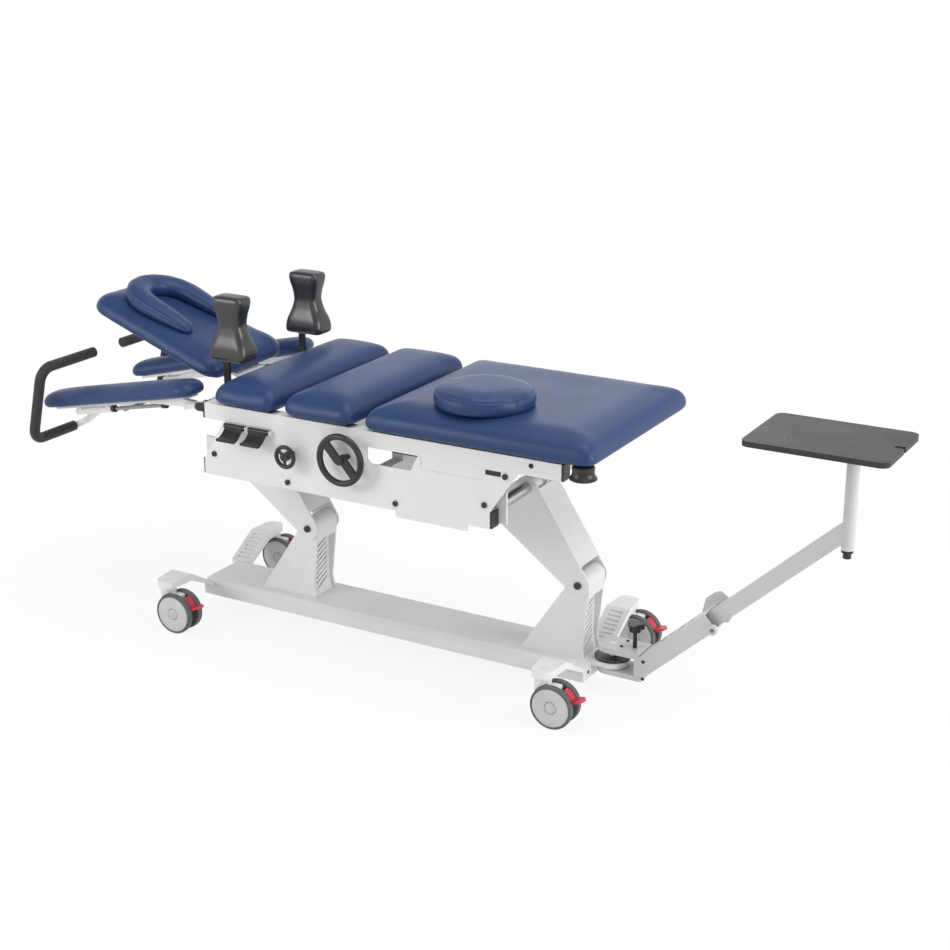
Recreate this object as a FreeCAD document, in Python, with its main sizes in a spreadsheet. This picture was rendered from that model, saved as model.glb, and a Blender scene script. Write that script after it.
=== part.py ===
import FreeCAD, Part
import math
import os

import Sketcher

# Traction table: a powered lifting couch on casters with an instrument stand at its foot end.
# X runs along the table towards the foot end, Y away from the control side, Z up from the floor.
# Positions along X are counted from midway between the caster hubs and moved at the end, so that
# the origin lies on the floor under the middle of the whole object.

SIZES = {
    # The padded top, which the rails, posts and armrests follow
    "table_half_width": 330, "thoracic_start": -450, "thoracic_length": 226, "section_gap": 15,
    "lumbar_length": 246, "long_gap": 18, "long_length": 712, "long_overhang": 103,
    "top_foot_end": "=thoracic_start + thoracic_length + section_gap + lumbar_length + long_gap + long_length",
    # Base beam and columns
    "beam_head_end": -684, "beam_foot_end": 640, "beam_half_width": 95, "beam_bottom": 50,
    "beam_top": 98, "beam_shoulder": 15, "beam_wall": 4,
    "head_column_x": -307, "foot_column_x": 601, "lift_pivot_height": 323,
    "column_half_width": 52, "column_plate": 6, "column_boss": 32, "column_back_reach": 180,
    "column_front_reach": 20, "column_waist": 12, "column_flare": 40, "column_recess": 8,
    "louvre_count": 11, "louvre_pitch": 16, "louvre_tall": 6, "louvre_long": 60,
    "pivot_pin": 8, "bolt_head_radius": 10.5, "bolt_head_tall": 6,
    # Caster arms and casters
    "caster_hub_x": 644, "caster_trail": 38, "caster_centre_y": 272, "caster_arm_width": 74,
    "caster_arm_top": 160, "caster_arm_fold": 205, "caster_arm_end": 301, "caster_arm_sheet": 6,
    "caster_arm_depth": 22, "caster_arm_root": 13, "caster_tip_half": 29, "caster_arm_corner": 26,
    "slot_count": 7, "slot_long": 44, "slot_tall": 7, "wheel_radius": 62.5, "wheel_thick": 20,
    "tread_round": 5, "hub_dish": 3, "hub_cap_radius": 16, "wheel_gap": 28, "hood_thick": 25,
    "hood_radius": 57, "hood_hub": 36, "neck_radius": 24, "neck_drop": 37, "stem_radius": 11,
    "stem_boss_radius": 16, "axle_radius": 5, "pedal_outer": 60, "pedal_thick": 24, "pedal_start": 18, "pedal_sweep": 42, "tongue_long": 34,
    "tongue_wide": 38, "tongue_thick": 7,
    # Lift arms and their shafts
    "lift_run": 165, "lift_rise": 258, "arm_gap": 1.5, "arm_plate": 6, "arm_boss": 34,
    "arm_corner_back": 286, "arm_corner_up": 172, "web_start": 42, "web_end": 290,
    "shaft_radius": 17, "arm_tube_radius": 27, "crank_reach": 112, "crank_half": 30,
    "crank_thick": 12, "crank_lean": 26, "yoke_height": 55, "yoke_pin": 5, "yoke_slack": 9,
    # Upper frame
    "rail_head_end": -484, "rail_foot_end": "=top_foot_end - long_overhang", "rail_overhang": 30, "rail_wide": 38,
    "rail_half_width": "=table_half_width - rail_overhang", "rail_top": 757, "rail_tall": 46, "rail_wall": 3, "lower_head_end": -494,
    "lower_foot_end": 452, "lower_bottom": 541, "cap_thick": 6, "panel_inset": 2,
    "panel_thick": 3, "panel_slope_head": 75, "panel_slope_foot": 86, "window_start": 70,
    "window_end": 232, "window_bottom": 664, "window_corner": 12, "recess_end": 432,
    "recess_bottom": 674, "recess_deep": 1.2, "port_start": 439, "port_end": 486,
    "port_bottom": 693, "port_top": 707, "pocket_start": 158, "pocket_end": 385,
    "pocket_deep": 18, "button_radius": 8, "button_tall": 4.5, "button_shank": 4,
    "cross_head_x": 0, "cross_foot_x": 250, "end_tube_tall": 28, "end_tube_wide": 40,
    "end_tube_lead": 10, "plate_half": 45, "plate_thick": 8, "plate_low": 545, "plate_high": 640,
    "housing_end": 275, "housing_half": 32, "motor_long": 60, "yoke_bar": 6, "yoke_half": 9,
    "yoke_back": 110, "yoke_block": 40,
    # Padded sections
    "cushion_bottom": 760, "cushion_thick": 76, "cushion_corner": 34, "board_top": 782,
    "board_inset": 34, "board_gap": 0.4, "runner_tall": 40, "runner_thick": 20, "glide_pad": 6, "slide_travel": 140, "slide_gap": 0.3,
    # Head section
    "head_hinge_x": -509, "head_hinge_z": 752, "head_tilt": 17.7, "head_start": 34,
    "head_length": 537, "head_wide_foot": 196, "head_wide_head": 156, "head_corner": 66,
    "head_thick": 63, "head_crown": 0.75, "head_skirt": 2, "head_board": 15,
    "head_board_inset": 30, "head_lift": 10, "head_leg": 110,
    "knuckle_radius": 12, "knuckle_half": 60, "hinge_rod": 6, "face_centre": 378,
    "face_radius": 95, "face_leg": 171, "face_roll_half": 44, "face_roll_tall": 57,
    # Round cushion
    "round_x": 355, "round_y": -150, "round_radius": 143, "round_thick": 58,
    # Armrests
    "armrest_inset": 49, "armrest_y": "=table_half_width - armrest_inset", "armrest_tilt": 13, "armrest_pivot_x": -508, "armrest_pivot_z": 740,
    "armrest_start": -6, "armrest_length": 676, "armrest_half": 59, "armrest_thick": 50,
    "armrest_corner": 42, "armrest_drop": 25, "armrest_plate": 8, "armrest_edge": 45,
    "armrest_yaw": 7.5, "armrest_out": 7, "carrier_half": 9, "carrier_long": 230,
    "strut_radius": 6, "strut_back": 150, "strut_height": 8, "strut_body": 11,
    "strut_body_start": 395, "strut_body_long": 165, "strut_saddle": 12, "strut_knob": 10, "grip_tube": 11, "grip_foam": 16,
    "grip_bend": 42, "grip_low_x": "=armrest_pivot_x - armrest_length + 28", "grip_low_z": 537,
    "grip_high_x": "=grip_low_x + 56", "grip_high_z": 773, "grip_outer_y": "=armrest_y + 23",
    "grip_inner_y": "=armrest_y - 208", "tube_turn_y": "=armrest_y - 211",
    # Axilla posts
    "post_x": -481, "post_inset": 140, "post_y": "=table_half_width - post_inset", "stem_wide": 20, "stem_deep": 9, "stem_bottom": 735,
    "pad_bottom": 862, "pad_tall": 190, "pad_shift": 26, "pad_long": 130, "pad_deep": 84,
    "pad_corner": 15, "pad_socket": 40, "post_slot": 0.4, "post_travel": 60,
    # Controls
    "paddle_x": -372, "paddle_pitch": 84, "paddle_wide": 58, "paddle_reach": 54,
    "paddle_drop": 30, "paddle_barrel": 8, "paddle_thick": 9, "small_wheel_x": -180,
    "small_wheel_z": 651, "small_wheel_radius": 35, "small_rim": 6, "large_wheel_x": 5,
    "large_wheel_z": 672, "large_wheel_radius": 76, "large_rim": 9, "wheel_standoff": 38,
    "wheel_shaft": 8, "wheel_shaft_in": 25, "handle_inset": 47, "handle_side": 44, "handle_radius": 36.5,
    "handle_waist": 30, "handle_tall": 37, "handle_shaft": 6, "handle_depth": 15,
    # Traction stand
    "swing_x": 687, "drum_radius": 46, "drum_bottom": 84, "drum_top": 104, "disc_radius": 52,
    "disc_thick": 5, "spindle": 10, "bracket_bottom": 66, "bracket_top": 146,
    "bracket_plate": 15, "bracket_half": 44, "bracket_back": 786, "clamp_x": 753,
    "clamp_rod": 6, "clamp_height": 50, "clamp_head_radius": 27, "clamp_head_tall": 24,
    "clamp_lobes": 3, "arm_rise": 42.5, "channel_half": 47, "channel_sheet": 4,
    "channel_long": 300, "channel_near": 50, "channel_far": 80, "inner_half": 14,
    "inner_tall": 45, "inner_overlap": 190, "tray_post_x": 1336, "tray_post_radius": 17,
    "tray_post_bottom": 552, "boss_radius": 17, "tray_top": 845, "tray_thick": 15,
    "tray_head_edge": 1081, "tray_length": 381, "tray_half": 142, "tray_corner": 24,
    "tray_boss": 28, "tray_boss_tall": 18, "tray_hole": 3, "tray_hole_x": 1182,
    "tray_hole_y": -64, "notch_wide": 14, "notch_deep": 26, "plunger_collar": 16,
    "plunger_tip": 11, "plunger_stem": 8, "plunger_bore": 40,
    # Shared clearances
    "running_fit": 0.06, "clear_gap": 1,
}

doc = FreeCAD.newDocument("traction_table")
sheet = doc.addObject("Spreadsheet::Sheet", "dims")
for row, (word, number) in enumerate(SIZES.items(), start=1):
    sheet.set(f"A{row}", word)
    sheet.set(f"B{row}", str(number))
    sheet.setAlias(f"B{row}", word)
doc.recompute()


class Size:
    """A size with its value and the formula that binds it to the sheet."""

    def __init__(self, text, value):
        self.text = text
        self.value = value

    def _join(self, other, sign, value, swap=False):
        right = other.text if isinstance(other, Size) else repr(other)
        pair = (right, self.text) if swap else (self.text, right)
        return Size(f"({pair[0]} {sign} {pair[1]})", value)

    def __add__(self, other):
        return self._join(other, "+", self.value + number_of(other))

    def __sub__(self, other):
        return self._join(other, "-", self.value - number_of(other))

    def __mul__(self, other):
        return self._join(other, "*", self.value * number_of(other))

    def __truediv__(self, other):
        return self._join(other, "/", self.value / number_of(other))

    def __radd__(self, other):
        return self._join(other, "+", other + self.value, swap=True)

    def __rsub__(self, other):
        return self._join(other, "-", other - self.value, swap=True)

    def __rmul__(self, other):
        return self._join(other, "*", other * self.value, swap=True)

    def __neg__(self):
        return Size(f"(0 - {self.text})", -self.value)


def number_of(size):
    return size.value if isinstance(size, Size) else size


def text_of(size):
    return size.text if isinstance(size, Size) else repr(size)


def sine(size):
    return Size(f"sin({size.text})", math.sin(math.radians(size.value)))


def cosine(size):
    return Size(f"cos({size.text})", math.cos(math.radians(size.value)))


class Sheet:
    """The sheet's sizes by name."""

    def __getattr__(self, word):
        return Size(f"dims.{word}", float(sheet.get(word)))


D = Sheet()
NODES = {}
ZERO = Size("0", 0.0)
AXES = {"X": FreeCAD.Vector(1, 0, 0), "Y": FreeCAD.Vector(0, 1, 0), "Z": FreeCAD.Vector(0, 0, 1)}
ALONG = {
    "X": FreeCAD.Rotation(AXES["Z"], AXES["X"]),
    "Y": FreeCAD.Rotation(AXES["Z"], AXES["Y"]),
    "Z": FreeCAD.Rotation(),
}


def bind(item, field, size):
    item.setExpression(field, text_of(size))


def settle(item, x=ZERO, y=ZERO, z=ZERO, axis=None, angle=None):
    """Place an object, with its place bound to the sheet."""
    turn = item.Placement.Rotation
    if axis:
        turn = FreeCAD.Rotation(AXES[axis], number_of(angle))
    spot = FreeCAD.Vector(number_of(x), number_of(y), number_of(z))
    item.Placement = FreeCAD.Placement(spot, turn)
    for letter, size in zip("xyz", (x, y, z)):
        bind(item, f"Placement.Base.{letter}", size)
    if axis and isinstance(angle, Size):
        bind(item, "Placement.Rotation.Angle", angle)


def block(name, x0, x1, y0, y1, z0, z1):
    item = doc.addObject("Part::Box", name)
    for field, low, high in (("Length", x0, x1), ("Width", y0, y1), ("Height", z0, z1)):
        bind(item, field, high - low)
    settle(item, x0, y0, z0)
    return item


def rod(name, axis, radius, x, y, z, length):
    item = doc.addObject("Part::Cylinder", name)
    bind(item, "Radius", radius)
    bind(item, "Height", length)
    item.Placement = FreeCAD.Placement(FreeCAD.Vector(), ALONG[axis])
    settle(item, x, y, z)
    return item


def ring(name, axis, radius, thick, x, y, z):
    item = doc.addObject("Part::Torus", name)
    bind(item, "Radius1", radius)
    bind(item, "Radius2", thick)
    item.Placement = FreeCAD.Placement(FreeCAD.Vector(), ALONG[axis])
    settle(item, x, y, z)
    return item


def join(name, items):
    item = doc.addObject("Part::MultiFuse", name)
    item.Shapes = items
    return item


def take(name, base, tools):
    item = doc.addObject("Part::Cut", name)
    item.Base = base
    item.Tool = tools[0] if len(tools) == 1 else join(f"{name}_tools", tools)
    return item


def group(name, items):
    item = doc.addObject("Part::Compound", name)
    item.Links = items
    return item


def plain(name, shape):
    """An object with a ready shape, its own moves worked into the shape."""
    place = shape.Placement
    shape.Placement = FreeCAD.Placement()
    item = doc.addObject("Part::Feature", name)
    item.Shape = shape.transformed(place.toMatrix(), copy=True)
    return item


def node(name, item, x=None, y=ZERO, z=ZERO, axis=None, angle=None):
    """Name a finished piece and move it from the base's middle to the object's."""
    item.Label = name
    if axis or x is not None:
        settle(item, ORIGIN_SHIFT + (ZERO if x is None else x), y, z, axis, angle)
    else:
        settle(item, ORIGIN_SHIFT, y, z)
    NODES[name] = item
    return item


class Piece:
    """A body built feature by feature on its origin planes."""

    facing = {"XY": 1, "XZ": -1, "YZ": 1}

    def __init__(self, name):
        self.name = name
        self.body = doc.addObject("PartDesign::Body", f"{name}_body")
        self.steps = 0

    def sketch(self, plane, offset, loops):
        self.steps += 1
        origin = [f for f in self.body.Origin.OriginFeatures if f.Role == f"{plane}_Plane"]
        sketch = self.body.newObject("Sketcher::SketchObject", f"{self.name}_sketch{self.steps}")
        sketch.AttachmentSupport = [(origin[0], "")]
        sketch.MapMode = "FlatFace"
        lift = FreeCAD.Vector(0, 0, number_of(offset))
        sketch.AttachmentOffset = FreeCAD.Placement(lift, FreeCAD.Rotation())
        bind(sketch, "AttachmentOffset.Base.z", offset)
        for loop in loops:
            draw_loop(sketch, loop)
        return sketch

    def pad(self, plane, low, high, *loops):
        offset = low if self.facing[plane] > 0 else -1 * high
        profile = self.sketch(plane, offset, loops)
        feature = self.body.newObject("PartDesign::Pad", f"{self.name}_pad{self.steps}")
        feature.Profile = profile
        bind(feature, "Length", high - low)
        doc.recompute()
        return feature

    def pocket(self, plane, low, high, *loops):
        offset = high if self.facing[plane] > 0 else -1 * low
        before = self.body.Shape.Volume
        profile = self.sketch(plane, offset, loops)
        feature = self.body.newObject("PartDesign::Pocket", f"{self.name}_pocket{self.steps}")
        feature.Profile = profile
        bind(feature, "Length", high - low)
        doc.recompute()
        if self.body.Shape.Volume >= before:
            raise RuntimeError(f"{self.name}: a cut took nothing away")
        return feature

    def repeat(self, feature, plane, axis, pitch, count):
        """Repeat a feature along one axis of its sketch."""
        self.steps += 1
        pattern = self.body.newObject("PartDesign::LinearPattern", f"{self.name}_row{self.steps}")
        pattern.Originals = [feature]
        pattern.Direction = (feature.Profile[0], [axis])
        bind(pattern, "Length", pitch * (count - 1))
        bind(pattern, "Occurrences", count)
        self.body.Tip = pattern
        doc.recompute()
        return pattern

    def round(self, radius, chosen):
        """Round the straight edges whose middle the chosen test accepts."""
        edges = []
        for index, edge in enumerate(self.body.Shape.Edges, start=1):
            middle = edge.valueAt((edge.FirstParameter + edge.LastParameter) / 2)
            if edge.Curve.TypeId == "Part::GeomLine" and chosen(edge, middle):
                edges.append(f"Edge{index}")
        self.steps += 1
        base = self.body.Tip
        feature = self.body.newObject("PartDesign::Fillet", f"{self.name}_round{self.steps}")
        feature.Base = (base, edges)
        bind(feature, "Radius", radius)
        doc.recompute()
        return feature


def draw_loop(sketch, loop):
    """Draw a closed loop: a circle as (across, up, radius), or a list of corners."""
    if isinstance(loop, tuple):
        across, up, radius = loop
        centre = FreeCAD.Vector(number_of(across), number_of(up), 0)
        index = sketch.addGeometry(Part.Circle(centre, AXES["Z"], number_of(radius)), False)
        hold(sketch, "DistanceX", across, index, 3)
        hold(sketch, "DistanceY", up, index, 3)
        limit = Sketcher.Constraint("Radius", index, number_of(radius))
        sketch.setExpression(f"Constraints[{sketch.addConstraint(limit)}]", text_of(radius))
        return
    spots = [FreeCAD.Vector(number_of(u), number_of(v), 0) for u, v in loop]
    first = sketch.GeometryCount
    for index, spot in enumerate(spots):
        sketch.addGeometry(Part.LineSegment(spot, spots[(index + 1) % len(spots)]), False)
    for index in range(len(spots)):
        following = first + (index + 1) % len(spots)
        sketch.addConstraint(Sketcher.Constraint("Coincident", first + index, 2, following, 1))
    for index, (across, up) in enumerate(loop):
        hold(sketch, "DistanceX", across, first + index, 1)
        hold(sketch, "DistanceY", up, first + index, 1)


def hold(sketch, kind, size, index, point):
    limit = Sketcher.Constraint(kind, -1, 1, index, point, number_of(size))
    sketch.setExpression(f"Constraints[{sketch.addConstraint(limit)}]", text_of(size))


def rectangle(u0, u1, v0, v1):
    return [(u0, v0), (u1, v0), (u1, v1), (u0, v1)]


# Padded forms are lofts through rounded outlines, with drawn-in feet, soft shoulders and a crown.
PADDING = ((0.20, 0.0), (0.02, 0.16), (0.0, 0.42), (0.10, 0.70), (0.34, 0.90), (1.15, 1.0))


def rounded_wire(corners, radii, height):
    """A flat outline through convex corners, each rounded by its own arc."""
    spots = [FreeCAD.Vector(u, v, height) for u, v in corners]
    edges = []
    ends = []
    for index, spot in enumerate(spots):
        back = (spots[index - 1] - spot).normalize()
        ahead = (spots[(index + 1) % len(spots)] - spot).normalize()
        half = back.getAngle(ahead) / 2
        reach = radii[index] / math.tan(half)
        middle = spot + (back + ahead).normalize() * (radii[index] / math.sin(half) - radii[index])
        start, end = spot + back * reach, spot + ahead * reach
        edges.append(Part.Arc(start, middle, end).toShape())
        ends.append((start, end))
    sides = [
        Part.LineSegment(ends[index][1], ends[(index + 1) % len(ends)][0]).toShape()
        for index in range(len(ends))
    ]
    loop = [edge for pair in zip(edges, sides) for edge in pair]
    return Part.Wire(loop)


def drawn_in(corners, inset):
    """Move each side of a convex outline, given anticlockwise, inwards."""
    lines = []
    for index, (u, v) in enumerate(corners):
        next_u, next_v = corners[(index + 1) % len(corners)]
        along = FreeCAD.Vector(next_u - u, next_v - v, 0).normalize()
        inward = FreeCAD.Vector(-along.y, along.x, 0)
        lines.append((FreeCAD.Vector(u, v, 0) + inward * inset, along))
    moved = []
    for index in range(len(lines)):
        (p, a), (q, b) = lines[index - 1], lines[index]
        gap = q - p
        step = (gap.x * b.y - gap.y * b.x) / (a.x * b.y - a.y * b.x)
        spot = p + a * step
        moved.append((spot.x, spot.y))
    return moved


def cushion(corners, radii, thick, crown=1.15):
    """A firm upholstered pad over an outline, from its flat foot to its crowned top."""
    wires = []
    for inset, rise in PADDING:
        shift = min(inset, crown) * thick
        tighter = [max(4.0, radius - shift * 0.7) for radius in radii]
        wires.append(rounded_wire(drawn_in(corners, shift), tighter, rise * thick))
    return Part.makeLoft(wires, True, True)


def oblong(x0, x1, half):
    return [(x0, -half), (x1, -half), (x1, half), (x0, half)]


def tube(points, radius, bends):
    """A round tube along straight runs, with a bend at each inner corner."""
    spots = [FreeCAD.Vector(*point) for point in points]
    edges = []
    start = spots[0]
    for before, corner, after, bend in zip(spots, spots[1:], spots[2:], bends):
        back = (before - corner).normalize()
        ahead = (after - corner).normalize()
        half = back.getAngle(ahead) / 2
        reach = bend / math.tan(half)
        middle = corner + (back + ahead).normalize() * (bend / math.sin(half) - bend)
        edges.append(Part.LineSegment(start, corner + back * reach).toShape())
        edges.append(Part.Arc(corner + back * reach, middle, corner + ahead * reach).toShape())
        start = corner + ahead * reach
    edges.append(Part.LineSegment(start, spots[-1]).toShape())
    path = Part.Wire(edges)
    section = Part.Wire(Part.makeCircle(radius, spots[0], spots[1] - spots[0]))
    return path.makePipeShell([section], True, False)


# Where the object's middle lies along X, from the two ends that reach furthest.
FOOT_REACH = D.tray_head_edge + D.tray_length
HEAD_REACH = D.grip_low_x - D.grip_foam
ORIGIN_SHIFT = (FOOT_REACH + HEAD_REACH) / -2


def base_beam():
    piece = Piece("base_beam")
    half, top, shoulder = D.beam_half_width, D.beam_top, D.beam_shoulder
    outline = [
        (-1 * half, D.beam_bottom), (half, D.beam_bottom), (half, top - shoulder),
        (half - shoulder, top), (shoulder - half, top), (-1 * half, top - shoulder),
    ]
    piece.pad("YZ", D.beam_head_end, D.beam_foot_end, outline)
    inner = rectangle(D.beam_wall - half, half - D.beam_wall, D.beam_bottom, top - shoulder)
    piece.pocket("YZ", D.beam_head_end + D.beam_wall, D.beam_foot_end - D.beam_wall, inner)
    node("base_beam", piece.body)


def column(name, x):
    """A folded column: two cheeks that narrow to the pivot, and a louvred web on the foot side."""
    piece = Piece(name)
    half, plate, top = D.column_half_width, D.column_plate, D.lift_pivot_height
    outline = [
        (x - D.column_back_reach, D.beam_top), (x + D.column_front_reach, D.beam_top),
        (x + D.column_waist, D.beam_top + D.column_flare), (x + D.column_boss, top),
        (x, top + D.column_boss), (x - D.column_boss, top),
    ]
    piece.pad("XZ", -1 * half, half, outline)
    deep, brow = D.column_recess, top - D.column_boss * 1.25
    web = deep + plate
    hollow = [
        (x - D.column_back_reach, D.beam_top), (x + D.column_front_reach - web, D.beam_top),
        (x + D.column_waist - web, D.beam_top + D.column_flare),
        (x + D.column_waist - web, top - D.column_boss * 1.6),
        (x - D.column_boss * 2.4, top - D.column_boss * 1.6),
        (x - D.column_back_reach, D.beam_top + D.column_flare * 0.5),
    ]
    piece.pocket("XZ", plate - half, half - plate, hollow)
    recess = [
        (x + D.column_front_reach + deep, D.beam_top), (x + D.column_front_reach - deep, D.beam_top),
        (x + D.column_waist - deep, D.beam_top + D.column_flare), (x + D.column_waist - deep, brow),
        (x + D.column_boss * 2, brow),
    ]
    piece.pocket("XZ", plate - half, half - plate, recess)
    piece.pad("XZ", -1 * half, half, (x, top, D.column_boss))
    piece.pocket("XZ", -1 * half, half, (x, top, D.pivot_pin))
    long, tall = D.louvre_long, D.louvre_tall
    start = D.beam_top + D.louvre_pitch
    lean = D.louvre_pitch * 1.5
    slot = [(-1 * long / 2, start), (long / 2, start + lean), (long / 2, start + lean + tall),
            (-1 * long / 2, start + tall)]
    louvre = piece.pocket("YZ", x - web, x + D.column_front_reach, slot)
    piece.repeat(louvre, "YZ", "V_Axis", D.louvre_pitch, D.louvre_count)
    return piece.body


def pivot_bolt(name, x):
    outer = D.column_half_width + D.arm_gap + D.arm_plate
    pin = rod(f"{name}_pin", "Y", D.pivot_pin, x, -1 * outer, D.lift_pivot_height, outer * 2)
    heads = [
        rod(f"{name}_head{side}", "Y", D.bolt_head_radius, x, y, D.lift_pivot_height,
            D.bolt_head_tall)
        for side, y in (("a", D.clear_gap * 0.3 + outer), ("b", -1 * outer - D.bolt_head_tall
                                                           - D.clear_gap * 0.3))
    ]
    necks = rod(f"{name}_neck", "Y", D.pivot_pin, x, -1 * outer - D.clear_gap, D.lift_pivot_height,
                outer * 2 + D.clear_gap * 2)
    return join(name, [pin, necks] + heads)


def caster_arm(name, x, side):
    """A pressed arm: a slotted ramp that climbs from the beam, and the tip over the caster stem."""
    low, high, deep = D.beam_top - D.beam_wall, D.caster_arm_top, D.caster_arm_depth
    root, fold, end = D.beam_half_width, D.caster_arm_fold, D.caster_arm_end
    half, wall = D.caster_arm_width / 2, D.caster_arm_sheet
    ramp = Piece(f"{name}_ramp")
    outline = [(root, low - D.caster_arm_root), (root, low), (fold, high), (fold, high - deep)]
    ramp.pad("YZ", x - half, x + half, [(u * side, v) for u, v in outline])
    inner = [
        (root + wall, low - D.caster_arm_root - wall), (root + wall, low - wall),
        (fold, high - wall), (fold, high - deep - wall),
    ]
    ramp.pocket("YZ", x - half + wall, x + half - wall, [(u * side, v) for u, v in inner])
    pitch = (fold - root) / (D.slot_count + 1)
    first = root + pitch
    slot = rectangle(x - D.slot_long / 2, x + D.slot_long / 2, (first - D.slot_tall / 2) * side,
                     (first + D.slot_tall / 2) * side)
    vent = ramp.pocket("XY", low - deep, high + wall, slot)
    row = ramp.repeat(vent, "XY", "V_Axis", pitch, D.slot_count)
    row.Reversed = side < 0
    tip = Piece(f"{name}_tip")
    narrow, corner = D.caster_tip_half, D.caster_arm_corner
    plan = [(x - half, fold), (x + half, fold), (x + narrow, end), (x - narrow, end)]
    tip.pad("XY", high - deep, high, [(u, v * side) for u, v in plan])
    tip.round(corner, lambda edge, spot: abs(edge.tangentAt(edge.FirstParameter).z) > 0.99
              and abs(spot.y - end.value * side) < 0.05)
    inside, cut = narrow - wall, corner * 0.77
    plan = [
        (x - half + wall, fold), (x + half - wall, fold), (x + inside, end - wall - cut),
        (x + inside - cut, end - wall), (x - inside + cut, end - wall), (x - inside, end - wall - cut),
    ]
    tip.pocket("XY", high - deep, high - wall, [(u, v * side) for u, v in plan])
    hole = (x, D.caster_centre_y * side, D.stem_radius + D.running_fit)
    tip.pocket("XY", high - wall, high, hole)
    doc.recompute()
    return [ramp.body, tip.body]


def build_base():
    base_beam()
    columns = [column("head_column", D.head_column_x), column("foot_column", D.foot_column_x)]
    node("columns", group("columns_group", columns))
    bolts = [pivot_bolt("head_pivot", D.head_column_x), pivot_bolt("foot_pivot", D.foot_column_x)]
    node("column_pivot_bolts", group("pivot_bolts_group", bolts))
    arms = [
        body
        for end, sign in (("head", -1), ("foot", 1))
        for place, side in (("near", -1), ("far", 1))
        for body in caster_arm(f"arm_{end}_{place}", D.caster_hub_x * sign - D.caster_trail, side)
    ]
    node("caster_arms", group("caster_arms_group", arms))


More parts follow.
